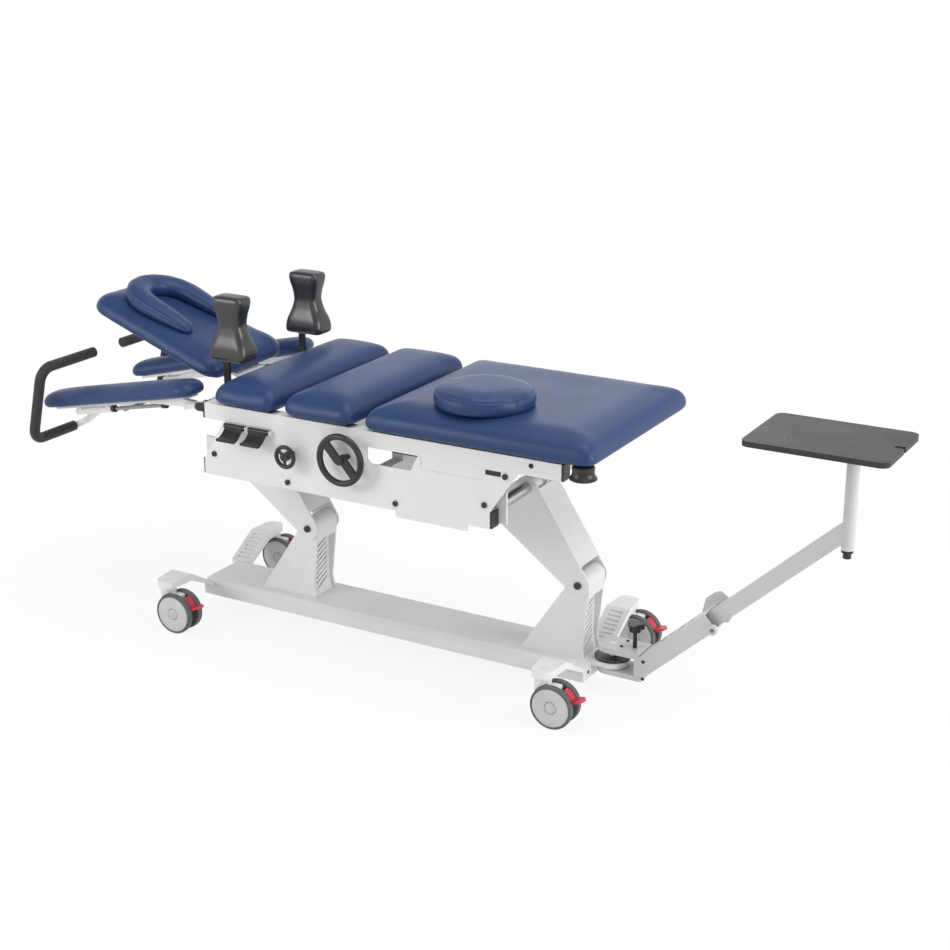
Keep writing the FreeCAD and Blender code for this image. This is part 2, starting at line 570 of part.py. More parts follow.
def caster(place, sign, side):
    """One twin-wheel caster: hood with stem, wheels on their axle, and brake pedal."""
    x, y = D.caster_hub_x * sign, D.caster_centre_y * side
    z, stem_x = D.wheel_radius, D.caster_hub_x * sign - D.caster_trail
    half_gap = D.wheel_gap / 2
    wheels = []
    for index, low in enumerate((y - half_gap - D.wheel_thick, y + half_gap)):
        name = f"wheel_{place}_{index}"
        disc = rod(f"{name}_disc", "Y", D.wheel_radius, x, low, z, D.wheel_thick)
        soft = doc.addObject("Part::Fillet", f"{name}_tread")
        soft.Base = disc
        doc.recompute()
        rims = [
            number for number, edge in enumerate(disc.Shape.Edges, start=1)
            if edge.Curve.TypeId == "Part::GeomCircle"
        ]
        soft.Edges = [(number, D.tread_round.value, D.tread_round.value) for number in rims]
        face = low if index == 0 else low + D.wheel_thick - D.hub_dish
        dish = rod(f"{name}_dish", "Y", D.wheel_radius - D.tread_round * 2, x, face, z, D.hub_dish)
        cap = rod(f"{name}_cap", "Y", D.hub_cap_radius, x, face, z, D.hub_dish)
        bore = rod(f"{name}_bore", "Y", D.axle_radius, x, low, z, D.wheel_thick)
        wheels.append(take(name, join(f"{name}_solid", [take(f"{name}_dished", soft, [dish]), cap]),
                           [bore]))
    reach = half_gap + D.wheel_thick - D.hub_dish
    axle = rod(f"axle_{place}", "Y", D.axle_radius, x, y - reach, z, reach * 2)
    node(f"{place}_caster_wheels", group(f"wheels_{place}", wheels + [axle]))

    thick = D.hood_thick / 2
    shell = rod(f"hood_{place}_disc", "Y", D.hood_radius, x, y - thick, z, D.hood_thick)
    front = block(f"hood_{place}_front", x + D.hood_hub * 0.42, x + D.hood_radius * 1.5,
                  y - D.hood_thick, y + D.hood_thick, ZERO - D.hood_thick, z + D.hood_radius * 1.5)
    under = block(f"hood_{place}_under", x - D.hood_radius * 1.5, x + D.hood_radius * 1.5,
                  y - D.hood_thick, y + D.hood_thick, ZERO - D.hood_thick, z - D.axle_radius * 2.4)
    hub = rod(f"hood_{place}_hub", "Y", D.hood_hub, x, y - thick, z, D.hood_thick)
    neck_top = D.caster_arm_top - D.caster_arm_depth - D.clear_gap
    neck_low = z * 2 - D.neck_drop
    neck = rod(f"hood_{place}_neck", "Z", D.neck_radius, stem_x, y, neck_low, neck_top - neck_low)
    room = D.wheel_radius + D.clear_gap * 2
    side_cuts = [
        rod(f"hood_{place}_room{index}", "Y", room, x, low, z, D.neck_radius)
        for index, low in enumerate((y - thick - D.neck_radius, y + thick))
    ]
    collar_top = D.caster_arm_top - D.caster_arm_sheet - D.slide_gap
    collar = rod(f"hood_{place}_collar", "Z", D.stem_boss_radius, stem_x, y, neck_top,
                 collar_top - neck_top)
    stem = rod(f"hood_{place}_stem", "Z", D.stem_radius, stem_x, y, neck_top,
               D.caster_arm_top - neck_top)
    bore = rod(f"hood_{place}_bore", "Y", D.axle_radius + D.running_fit, x, y - thick, z, D.hood_thick)
    shell_cut = take(f"hood_{place}_shell", shell, [front, under])
    neck_cut = take(f"hood_{place}_throat", neck, side_cuts)
    solid = join(f"hood_{place}_solid", [shell_cut, hub, neck_cut, collar, stem])
    node(f"{place}_caster_hood", take(f"hood_{place}", solid, [bore]))

    half = D.pedal_thick / 2
    band = doc.addObject("Part::Cylinder", f"pedal_{place}_band")
    bind(band, "Radius", D.pedal_outer)
    bind(band, "Height", D.pedal_thick)
    bind(band, "Angle", D.pedal_sweep)
    core = doc.addObject("Part::Cylinder", f"pedal_{place}_core")
    bind(core, "Radius", D.hood_hub + D.slide_gap)
    bind(core, "Height", D.pedal_thick)
    tip_x = D.pedal_outer + D.tongue_long - D.tongue_wide / 2
    plate = block(f"pedal_{place}_tongue", D.pedal_outer - D.tongue_thick, tip_x, ZERO, D.tongue_thick,
                  half - D.tongue_wide / 2, half + D.tongue_wide / 2)
    toe = rod(f"pedal_{place}_toe", "Y", D.tongue_wide / 2, tip_x, ZERO, half, D.tongue_thick)
    root = block(f"pedal_{place}_notch", D.pedal_outer - 8, D.wheel_radius + D.clear_gap, ZERO - 1,
                 D.tongue_thick + 1, D.pedal_thick, half + D.tongue_wide)
    other = block(f"pedal_{place}_notch2", D.pedal_outer - 8, D.wheel_radius + D.clear_gap, ZERO - 1,
                  D.tongue_thick + 1, half - D.tongue_wide, ZERO)
    tongue = take(f"pedal_{place}_plate", join(f"pedal_{place}_sole", [plate, toe]), [root, other])
    solid = join(f"pedal_{place}_solid", [take(f"pedal_{place}_arc", band, [core]), tongue])
    turned = doc.addObject("Part::Compound", f"pedal_{place}")
    turned.Links = [solid]
    lay = FreeCAD.Rotation(AXES["X"], 90)
    lean = FreeCAD.Rotation(AXES["Y"], -D.pedal_start.value)
    turned.Placement = FreeCAD.Placement(FreeCAD.Vector(), lean * lay)
    node(f"{place}_caster_pedal", turned, x, y + half, z)


def lift_arm(name, x, crank):
    """A bell-crank lift arm: two cheeks, a web between them and the tube that turns on its shaft."""
    piece = Piece(name)
    inner = D.column_half_width + D.arm_gap
    outer = inner + D.arm_plate
    z = D.lift_pivot_height
    top_x, top_z, boss = x - D.lift_run, z + D.lift_rise, D.arm_boss
    outline = [
        (x - boss * 0.5, z - boss * 0.85), (x + boss * 0.6, z - boss * 0.8), (x + boss, z),
        (x + boss * 0.85, z + boss * 0.55), (top_x + boss * 0.85, top_z + boss * 0.55),
        (top_x, top_z + boss), (top_x - boss * 0.8, top_z + boss * 0.6),
        (x - D.arm_corner_back, z + D.arm_corner_up + boss), (x - D.arm_corner_back,
                                                              z + D.arm_corner_up),
    ]
    piece.pad("XZ", -1 * outer, outer, outline)
    piece.pad("XZ", -1 * outer, outer, (x, z, boss))
    piece.pad("XZ", -1 * outer, outer, (top_x, top_z, boss))
    span = Size(f"sqrt({D.lift_run.text}^2 + {D.lift_rise.text}^2)",
                math.hypot(D.lift_run.value, D.lift_rise.value))
    along_x, along_z = D.lift_run / span, D.lift_rise / span
    web = D.arm_plate

    def beside(along, across):
        """A point along the line of pivots and square to it, towards the foot end."""
        return (x - along_x * along + along_z * across, z + along_z * along + along_x * across)

    low = [
        beside(D.arm_boss * -2, boss * 2.5), beside(D.web_start, boss * 2.5),
        beside(D.web_start, boss * -9), beside(D.arm_boss * -2, boss * -9),
    ]
    piece.pocket("XZ", -1 * inner, inner, low)
    middle = [
        beside(D.web_start - 1, boss - web * 2), beside(D.web_end + 1, boss - web * 2),
        beside(D.web_end + 1, boss * -9), beside(D.web_start - 1, boss * -9),
    ]
    piece.pocket("XZ", -1 * inner, inner, middle)
    high = [
        beside(D.web_end, boss * 2.5), beside(D.web_end + boss * 9, boss * 2.5),
        beside(D.web_end + boss * 9, boss * -9), beside(D.web_end, boss * -9),
    ]
    piece.pocket("XZ", -1 * inner, inner, high)
    piece.pad("XZ", -1 * inner, inner, (top_x, top_z, D.arm_tube_radius))
    if crank:
        lean_s, lean_c = sine(D.crank_lean), cosine(D.crank_lean)

        def ear(along, across):
            return (top_x + lean_s * along + lean_c * across, top_z + lean_c * along - lean_s * across)

        half, thick = D.crank_half, D.crank_thick / 2
        left = -1 * half
        piece.pad("XZ", -1 * thick, thick, [ear(ZERO, left), ear(D.crank_reach, left),
                                           ear(D.crank_reach, half), ear(ZERO, half)])
        slot_low, slot_high = D.yoke_height - 13, D.crank_reach - 9
        slot_left = -1 * D.yoke_pin - D.yoke_slack
        slot_right = D.yoke_pin + D.clear_gap
        piece.pocket("XZ", -1 * thick, thick, [
            ear(slot_low, slot_left), ear(slot_high, slot_left), ear(slot_high, slot_right),
            ear(slot_low, slot_right),
        ])
    piece.pocket("XZ", -1 * outer, outer, (top_x, top_z, D.shaft_radius + D.running_fit))
    piece.pocket("XZ", -1 * outer, outer, (x, z, D.pivot_pin + D.running_fit))
    node(name, piece.body)


def build_lift():
    lift_arm("head_lift_arm", D.head_column_x, crank=False)
    lift_arm("foot_lift_arm", D.foot_column_x, crank=True)


def tube_block(name, x0, x1, y0, y1, z0, z1):
    """A rectangular tube along X with the rail wall."""
    outer = block(f"{name}_outer", x0, x1, y0, y1, z0, z1)
    wall = D.rail_wall
    inner = block(f"{name}_inner", x0, x1, y0 + wall, y1 - wall, z0 + wall, z1 - wall)
    return take(name, outer, [inner])


def side_span(side, depth_out, depth_in):
    """The Y limits of a layer between two depths, on one side of the table."""
    if side < 0:
        return -1 * depth_out, -1 * depth_in
    return depth_in, depth_out


# Bolt spots as shares of the lower rail's length and of the height from its underside to the rail top.
BOLT_SHARES = ((0.039, 0.30), (0.31, 0.097), (0.69, 0.097), (0.984, 0.305), (1.05, 0.72))


def bolt_spots():
    long, tall = D.lower_foot_end - D.lower_head_end, D.rail_top - D.lower_bottom
    return [(D.lower_head_end + long * u, D.lower_bottom + tall * v) for u, v in BOLT_SHARES]


def side_panel(name, side):
    """The sheet below a side rail, with sloping ends, window, shallow recess, port and pocket lip."""
    piece = Piece(name)
    face = D.rail_half_width - D.panel_inset
    low, high = side_span(side, face, face - D.panel_thick)
    top, foot = D.rail_top - D.rail_tall, D.lower_bottom
    knee = foot + D.rail_tall
    outline = [
        (D.lower_head_end, foot), (D.pocket_start, foot), (D.pocket_start, foot - D.pocket_deep),
        (D.pocket_end, foot - D.pocket_deep), (D.pocket_end, foot), (D.lower_foot_end, foot),
        (D.lower_foot_end, knee), (D.lower_foot_end + D.panel_slope_foot, top),
        (D.lower_head_end + D.panel_slope_head, top), (D.lower_head_end, knee),
    ]
    piece.pad("XZ", low, high, outline)
    window = [
        (D.window_start, top + 1), (D.window_start, D.window_bottom + D.window_corner),
        (D.window_start + D.window_corner, D.window_bottom),
        (D.window_end - D.window_corner * 2, D.window_bottom), (D.window_end, top + 1),
    ]
    port = rectangle(D.port_start, D.port_end, D.port_bottom, D.port_top)
    holes = [(x, z, D.button_shank) for x, z in bolt_spots()]
    piece.pocket("XZ", low, high, window, port, *holes)
    recess = rectangle(D.window_end + 8, D.recess_end, D.recess_bottom, top + 1)
    skin = side_span(side, face, face - D.recess_deep)
    piece.pocket("XZ", skin[0], skin[1], recess)
    for x, z, hole in (
        (D.small_wheel_x, D.small_wheel_z, D.wheel_shaft + D.running_fit),
        (D.large_wheel_x, D.large_wheel_z, D.wheel_shaft + D.running_fit),
    ):
        if side < 0:
            piece.pocket("XZ", low, high, (x, z, hole))
    return piece.body


def build_frame():
    build_rails()
    build_cross_frame()
    build_actuator()


def build_rails():
    wide = D.rail_half_width
    bottom = D.rail_top - D.rail_tall
    low_out = wide - D.panel_inset - D.panel_thick
    face = wide - D.panel_inset
    rails, panels, caps, bolts = [], [], [], []
    for place, side in (("near", -1), ("far", 1)):
        y0, y1 = side_span(side, wide, wide - D.rail_wide)
        rails.append(tube_block(f"rail_{place}", D.rail_head_end, D.rail_foot_end, y0, y1, bottom,
                                D.rail_top))
        v0, v1 = side_span(side, low_out, low_out - D.rail_wide)
        rails.append(tube_block(f"lower_{place}", D.lower_head_end, D.lower_foot_end, v0, v1,
                                D.lower_bottom, D.lower_bottom + D.rail_tall))
        panels.append(side_panel(f"panel_{place}", side))
        foot_cap = block(f"cap_{place}_foot", D.rail_foot_end, D.rail_foot_end + D.cap_thick, y0, y1,
                         bottom, D.rail_top)
        h0, h1 = side_span(side, face, face - D.panel_thick)
        insert = block(f"port_{place}", D.port_start, D.port_end, h0, h1, D.port_bottom, D.port_top)
        caps += [armrest_lugs(place, side, y0, y1), foot_cap, insert]
        for end, x in (("head", D.lower_head_end - D.cap_thick), ("foot", D.lower_foot_end)):
            caps.append(block(f"lowcap_{place}_{end}", x, x + D.cap_thick, v0, v1, D.lower_bottom,
                              D.lower_bottom + D.rail_tall))
        for index, (spot, rise) in enumerate(bolt_spots()):
            h0, h1 = side_span(side, face + D.button_tall, face)
            head = rod(f"button_{place}_{index}", "Y", D.button_radius, spot, h0, rise, h1 - h0)
            s0, s1 = side_span(side, face, face - D.panel_thick)
            shank = rod(f"shank_{place}_{index}", "Y", D.button_shank, spot, s0, rise, s1 - s0)
            bolts.append(join(f"bolt_{place}_{index}", [head, shank]))
    node("side_rails", group("side_rails_group", rails))
    node("side_panels", group("side_panels_group", panels + paddle_lugs(face)))
    node("rail_end_caps", group("end_caps_group", caps))
    node("panel_bolts", group("panel_bolts_group", bolts))


def armrest_lugs(place, side, y0, y1):
    """The head end cap of an upper rail, with the two lugs and the pin that carry an armrest."""
    bottom = D.rail_top - D.rail_tall
    cap = block(f"cap_{place}_head", D.rail_head_end - D.cap_thick, D.rail_head_end, y0, y1, bottom,
                D.rail_top)
    x, z, eye = D.armrest_pivot_x, D.armrest_pivot_z, D.knuckle_radius
    face = D.rail_head_end - D.cap_thick
    pieces = [cap]
    for name, start in (("a", y0), ("b", y1 - D.plate_thick)):
        pieces.append(block(f"lug_{place}_{name}", x, face, start, start + D.plate_thick, z - eye,
                            z + eye))
        pieces.append(rod(f"lug_{place}_{name}_end", "Y", eye, x, start, z, D.plate_thick))
    pieces.append(rod(f"lug_{place}_pin", "Y", D.hinge_rod, x, y0, z, D.rail_wide))
    return join(f"cap_lugs_{place}", pieces)


def paddle_lugs(face):
    """The lugs on the near panel that hold the release paddles by short pins."""
    y = -1 * face - D.paddle_barrel - D.slide_gap
    z = D.rail_top - D.rail_tall - D.paddle_barrel - D.clear_gap * 2
    items = []
    for index in range(2):
        half = D.paddle_wide * 0.625
        for name, sign in (("a", -1), ("b", 1)):
            edge = D.paddle_x + D.paddle_pitch * index + half * sign
            out = edge + D.slide_gap * sign
            low, high = (out - 4, out) if sign < 0 else (out, out + 4)
            lug = block(f"paddle_lug_{index}{name}", low, high, y - D.paddle_barrel * 0.8, -1 * face,
                        z - D.paddle_barrel * 0.8, z + D.paddle_barrel * 0.8)
            start = edge - D.paddle_barrel if sign > 0 else low
            pin = rod(f"paddle_pin_{index}{name}", "X", D.button_shank, start, y, z,
                      D.paddle_barrel + D.slide_gap + 4)
            items.append(join(f"paddle_mount_{index}{name}", [lug, pin]))
    return items


def build_cross_frame():
    """The tubes, plates and saddles between the rails, and the two shafts in their plates."""
    wide = D.rail_half_width
    reach = wide - D.panel_inset - D.panel_thick - D.rail_wide
    half_tube = D.rail_wide / 2
    low_top = D.lower_bottom + D.rail_tall
    housing_low = D.lift_pivot_height + D.lift_rise + D.yoke_height - D.housing_half
    items = []
    for name, x in (("head", D.cross_head_x), ("foot", D.cross_foot_x)):
        bar = block(f"cross_{name}", x - half_tube, x + half_tube, -1 * reach, reach, D.lower_bottom,
                    low_top)
        saddle = block(f"saddle_{name}", x - half_tube, x + half_tube, -1 * D.housing_half,
                       D.housing_half, low_top, housing_low)
        items.append(join(f"cross_lower_{name}", [bar, saddle]))
    inner = wide - D.rail_wide
    low = D.rail_top - D.end_tube_tall
    head_x = D.rail_head_end - D.end_tube_lead
    bar = block("end_tube_head", head_x, head_x + D.end_tube_wide, -1 * inner, inner, low, D.rail_top)
    slots = [
        block(f"post_slot_{place}", D.post_x - D.stem_wide / 2 - D.post_slot, D.post_x
              + D.stem_wide / 2 + D.post_slot, D.post_y * side - D.stem_deep / 2 - D.post_travel
              - D.post_slot, D.post_y * side + D.stem_deep / 2 + D.post_travel + D.post_slot,
              low - 1, D.rail_top + 1)
        for place, side in (("near", -1), ("far", 1))
    ]
    x, z, eye = D.head_hinge_x, D.head_hinge_z, D.knuckle_radius
    start = D.knuckle_half + D.clear_gap
    lugs = []
    for place, side in (("near", -1), ("far", 1)):
        y0, y1 = side_span(side, start + D.plate_thick, start)
        lugs.append(block(f"head_lug_{place}", x, head_x, y0, y1, z - eye, z + 5))
        lugs.append(rod(f"head_lug_{place}_end", "Y", eye, x, y0, z, D.plate_thick))
    pin = rod("head_hinge_pin", "Y", D.hinge_rod, x, -1 * start, z, start * 2)
    items.append(join("end_tube_hinged", [take("end_tube_slotted", bar, slots), pin] + lugs))
    foot_x = D.rail_foot_end - D.end_tube_wide
    items.append(block("end_tube_foot", foot_x, D.rail_foot_end, -1 * inner, inner, low, D.rail_top))
    shaft_z = D.lift_pivot_height + D.lift_rise
    shafts = []
    for name, column_x in (("head", D.head_column_x), ("foot", D.foot_column_x)):
        pivot_x = column_x - D.lift_run
        shafts.append(rod(f"shaft_{name}", "Y", D.shaft_radius, pivot_x, -1 * reach, shaft_z, reach * 2))
        for place, side in (("near", -1), ("far", 1)):
            y0, y1 = side_span(side, reach, reach - D.plate_thick)
            plate = block(f"plate_{name}_{place}", pivot_x - D.plate_half, pivot_x + D.plate_half, y0,
                          y1, D.plate_low, D.plate_high)
            hole = rod(f"plate_{name}_{place}_hole", "Y", D.shaft_radius, pivot_x, y0, shaft_z,
                       D.plate_thick)
            items.append(take(f"pivot_plate_{name}_{place}", plate, [hole]))
    node("cross_frame", group("cross_frame_group", items))
    node("frame_pivot_shafts", group("frame_shafts_group", shafts))


def build_actuator():
    """The lift actuator's housing with its motor, and the yoke that pushes the foot arm's crank."""
    housing_z = D.lift_pivot_height + D.lift_rise + D.yoke_height
    half = D.housing_half
    start = D.cross_head_x - D.rail_wide / 2
    box = block("housing_box", start, D.housing_end, -1 * half, half, housing_z - half,
                housing_z + half)
    slack = D.slide_gap
    gap_in = D.crank_thick / 2 + D.clear_gap * 2
    gap_out = gap_in + D.yoke_bar
    cavity = block("housing_cavity", start + D.rail_wall * 2, D.housing_end + 1, -1 * gap_out - slack,
                   gap_out + slack, housing_z - D.yoke_half - slack, housing_z + D.yoke_half + slack)
    motor = rod("housing_motor", "X", half * 0.8, start - D.motor_long, ZERO, housing_z, D.motor_long)
    node("lift_actuator", take("lift_actuator_cut", join("lift_actuator_solid", [box, motor]), [cavity]))
    pin_x = D.foot_column_x - D.lift_run + D.yoke_height * (sine(D.crank_lean) / cosine(D.crank_lean))
    back = D.housing_end - D.yoke_back
    bars = [
        block(f"yoke_bar_{index}", back, pin_x + D.yoke_half, y, y + D.yoke_bar,
              housing_z - D.yoke_half, housing_z + D.yoke_half)
        for index, y in enumerate((gap_in, -1 * gap_out))
    ]
    tie = block("yoke_tie", back, back + D.yoke_block, -1 * gap_out, gap_out,
                housing_z - D.yoke_half, housing_z + D.yoke_half)
    pin = rod("yoke_pin_rod", "Y", D.yoke_pin, pin_x, -1 * gap_out, housing_z, gap_out * 2)
    node("lift_actuator_yoke", join("yoke_solid", bars + [tie, pin]))


def section_limits():
    """Start and end of the thoracic, lumbar and long sections along X."""
    thoracic = (D.thoracic_start, D.thoracic_start + D.thoracic_length)
    lumbar_start = thoracic[1] + D.section_gap
    lumbar = (lumbar_start, lumbar_start + D.lumbar_length)
    return thoracic, lumbar, (D.top_foot_end - D.long_length, D.top_foot_end)


def section_pad(start, end):
    """A section's padding, wrapped down around the board that carries it."""
    wide, foot = D.table_half_width.value, D.cushion_bottom.value
    shape = cushion(oblong(start.value, end.value, wide), [D.cushion_corner.value] * 4,
                    D.cushion_thick.value)
    inset = D.board_inset.value - D.board_gap.value
    tall = D.board_top.value - foot
    room = Part.makeBox(end.value - start.value - inset * 2, (wide - inset) * 2, tall,
                        FreeCAD.Vector(start.value + inset, inset - wide, 0))
    return shape.cut(room)


def build_sections():
    thoracic, lumbar, long = section_limits()
    boards = []
    inset = D.board_inset
    for name, (start, end) in (("thoracic", thoracic), ("lumbar", lumbar)):
        node(f"{name}_cushion", plain(f"{name}_pad", section_pad(start, end)), ZERO, ZERO,
             D.cushion_bottom)
        boards.append(block(f"{name}_board", start + inset, end - inset,
                            inset - D.table_half_width, D.table_half_width - inset, D.rail_top,
                            D.board_top))
    node("section_boards", group("section_boards_group", boards))
    start, end = long
    node("long_cushion", plain("long_pad", section_pad(start, end)), ZERO, ZERO, D.cushion_bottom)
    low, under = D.rail_top + D.slide_gap, D.rail_top + D.glide_pad
    board = block("long_board", start + inset, end - inset, inset - D.table_half_width,
                  D.table_half_width - inset, under, D.board_top)
    inner = D.rail_half_width - D.rail_wide - D.slide_gap
    stop = D.rail_foot_end - D.end_tube_wide - D.slide_travel - D.clear_gap * 10
    pieces = [board]
    for place, side in (("near", -1), ("far", 1)):
        y0, y1 = side_span(side, inner, inner - D.runner_thick)
        pieces.append(block(f"runner_{place}", start + inset, stop, y0, y1,
                            D.rail_top - D.runner_tall, under))
        p0, p1 = side_span(side, D.table_half_width - inset, inner)
        for index, x in enumerate((start + inset, stop - inset * 2)):
            pieces.append(block(f"glide_{place}_{index}", x, x + inset * 2, p0, p1, low, under))
    x, y = end - D.handle_inset, D.handle_side - D.table_half_width
    bore = rod("handle_bore", "Z", D.handle_shaft + D.running_fit, x, y, under,
               D.handle_depth + D.clear_gap)
    node("long_carriage", take("long_carriage_cut", join("long_carriage_solid", pieces), [bore]))


def release_handle():
    """The bell-shaped knob that hangs under the foot end and frees the sliding section."""
    end = section_limits()[2][1]
    x, y = end - D.handle_inset, D.handle_side - D.table_half_width
    under = D.rail_top + D.glide_pad
    top = under - D.clear_gap * 3
    tall, wide, waist = D.handle_tall.value, D.handle_radius.value, D.handle_waist.value
    spots = [
        FreeCAD.Vector(reach, 0, -drop * tall)
        for reach, drop in ((0, 0.0), (waist * 0.9, 0.0), (waist, 0.1), (waist * 0.97, 0.5),
                            (waist * 1.06, 0.72), (wide, 0.88), (wide, 0.96), (wide * 0.93, 1.0), (0, 1.0))
    ]
    outline = Part.Wire([
        Part.LineSegment(spots[index], spots[(index + 1) % len(spots)]).toShape()
        for index in range(len(spots))
    ])
    bell = plain("handle_bell", Part.Face(outline).revolve(FreeCAD.Vector(), AXES["Z"], 360))
    settle(bell, x, y, top)
    shaft = rod("handle_shaft", "Z", D.handle_shaft, x, y, top, under - top + D.handle_depth)
    node("release_handle", join("handle_solid", [bell, shaft]))


def head_outline(inset=0.0):
    start, end = D.head_start.value, D.head_start.value + D.head_length.value
    foot, head = D.head_wide_foot.value, D.head_wide_head.value
    corners = [(-end, -head), (-start, -foot), (-start, foot), (-end, head)]
    return drawn_in(corners, inset)


def build_head():
    corner = D.head_corner.value
    radii = [corner * 1.15, corner * 0.8, corner * 0.8, corner * 1.15]
    place = dict(x=D.head_hinge_x, z=D.head_hinge_z, axis="Y", angle=D.head_tilt)
    shape = cushion(head_outline(), radii, D.head_thick.value, D.head_crown.value)
    lift = D.head_lift.value
    foot = lift + D.head_skirt.value
    shape.translate(FreeCAD.Vector(0, 0, foot))
    inset, tight = D.head_board_inset.value, [radius * 0.6 for radius in radii]
    room = rounded_wire(head_outline(inset - D.board_gap.value), tight, lift)
    shape = shape.cut(Part.Face(room).extrude(FreeCAD.Vector(0, 0, D.head_board.value)))
    node("head_cushion", plain("head_pad", shape), **place)

    wire = rounded_wire(head_outline(inset), tight, lift)
    board = Part.Face(wire).extrude(FreeCAD.Vector(0, 0, D.head_board.value))
    half, radius = D.knuckle_half.value, D.knuckle_radius.value
    reach = D.head_start.value + D.head_leg.value
    knuckle = Part.makeCylinder(radius, half * 2, FreeCAD.Vector(0, -half, 0), AXES["Y"])
    leg = Part.makeBox(reach, half * 2, lift, FreeCAD.Vector(-reach, -half, 0))
    hole = D.hinge_rod.value + D.running_fit.value
    bore = Part.makeCylinder(hole, half * 2, FreeCAD.Vector(0, -half, 0), AXES["Y"])
    frame = board.fuse([knuckle, leg]).cut(bore).removeSplitter()
    node("head_tilt_frame", plain("head_frame", frame), **place)

    face = face_cushion_shape()
    face.translate(FreeCAD.Vector(0, 0, foot + D.head_thick.value + D.slide_gap.value))
    node("face_cushion", plain("face_pad", face), **place)


# Face cushion sections as (share of leg or turn in degrees, width, height), from an end to the back.
FACE_LEG = ((1.0, 0.30, 0.22), (0.975, 0.46, 0.42), (0.92, 0.60, 0.56), (0.8, 0.70, 0.66),
            (0.55, 0.80, 0.78), (0.25, 0.90, 0.88))
FACE_BACK = ((0, 0.96, 0.94), (22, 0.98, 0.97), (45, 1.0, 0.99), (68, 1.0, 1.0), (90, 1.0, 1.0))


def face_cushion_shape():
    """A plump horseshoe with its opening towards the table, full at the back and slim at its ends."""
    radius, leg, half = D.face_radius.value, D.face_leg.value, D.face_roll_half.value
    tall, centre = D.face_roll_tall.value, -D.face_centre.value
    stations = []
    for share, wide, high in FACE_LEG:
        spot = FreeCAD.Vector(centre + leg * share, radius, 0)
        stations.append((spot, FreeCAD.Vector(0, 1, 0), wide * half, high * tall))
    for turn, wide, high in FACE_BACK:
        out = FreeCAD.Vector(-math.sin(math.radians(turn)), math.cos(math.radians(turn)), 0)
        stations.append((FreeCAD.Vector(centre, 0, 0) + out * radius, out, wide * half, high * tall))
    mirrored = [
        (FreeCAD.Vector(spot.x, -spot.y, 0), FreeCAD.Vector(out.x, -out.y, 0), wide, high)
        for spot, out, wide, high in reversed(stations[:-1])
    ]
    wires = []
    for spot, out, wide, high in stations + mirrored:
        section = [(-0.8, 0), (0.8, 0), (1, 0.38), (0.72, 0.86), (0, 1), (-0.72, 0.86), (-1, 0.38)]
        spots = [spot + out * (u * wide) + AXES["Z"] * (v * high) for u, v in section]
        wires.append(Part.Wire([
            Part.LineSegment(spots[0], spots[1]).toShape(),
            Part.Arc(spots[1], spots[2], spots[3]).toShape(),
            Part.Arc(spots[3], spots[4], spots[5]).toShape(),
            Part.Arc(spots[5], spots[6], spots[0]).toShape(),
        ]))
    return Part.makeLoft(wires, True, True)


def build_round_cushion():
    radius, thick = D.round_radius.value, D.round_thick.value
    wires = []
    for inset, rise in PADDING:
        reach = radius - inset * thick * 0.8
        spots = [
            FreeCAD.Vector(reach * math.cos(math.radians(turn)), reach * math.sin(math.radians(turn)),
                           rise * thick)
            for turn in range(0, 360, 45)
        ]
        edges = [
            Part.Arc(spots[start], spots[start + 1], spots[(start + 2) % 8]).toShape()
            for start in range(0, 8, 2)
        ]
        wires.append(Part.Wire(edges))
    shape = Part.makeLoft(wires, True, True)
    rest = D.cushion_bottom + D.cushion_thick + D.slide_gap
    node("round_cushion", plain("round_pad", shape), D.round_x, D.round_y, rest)


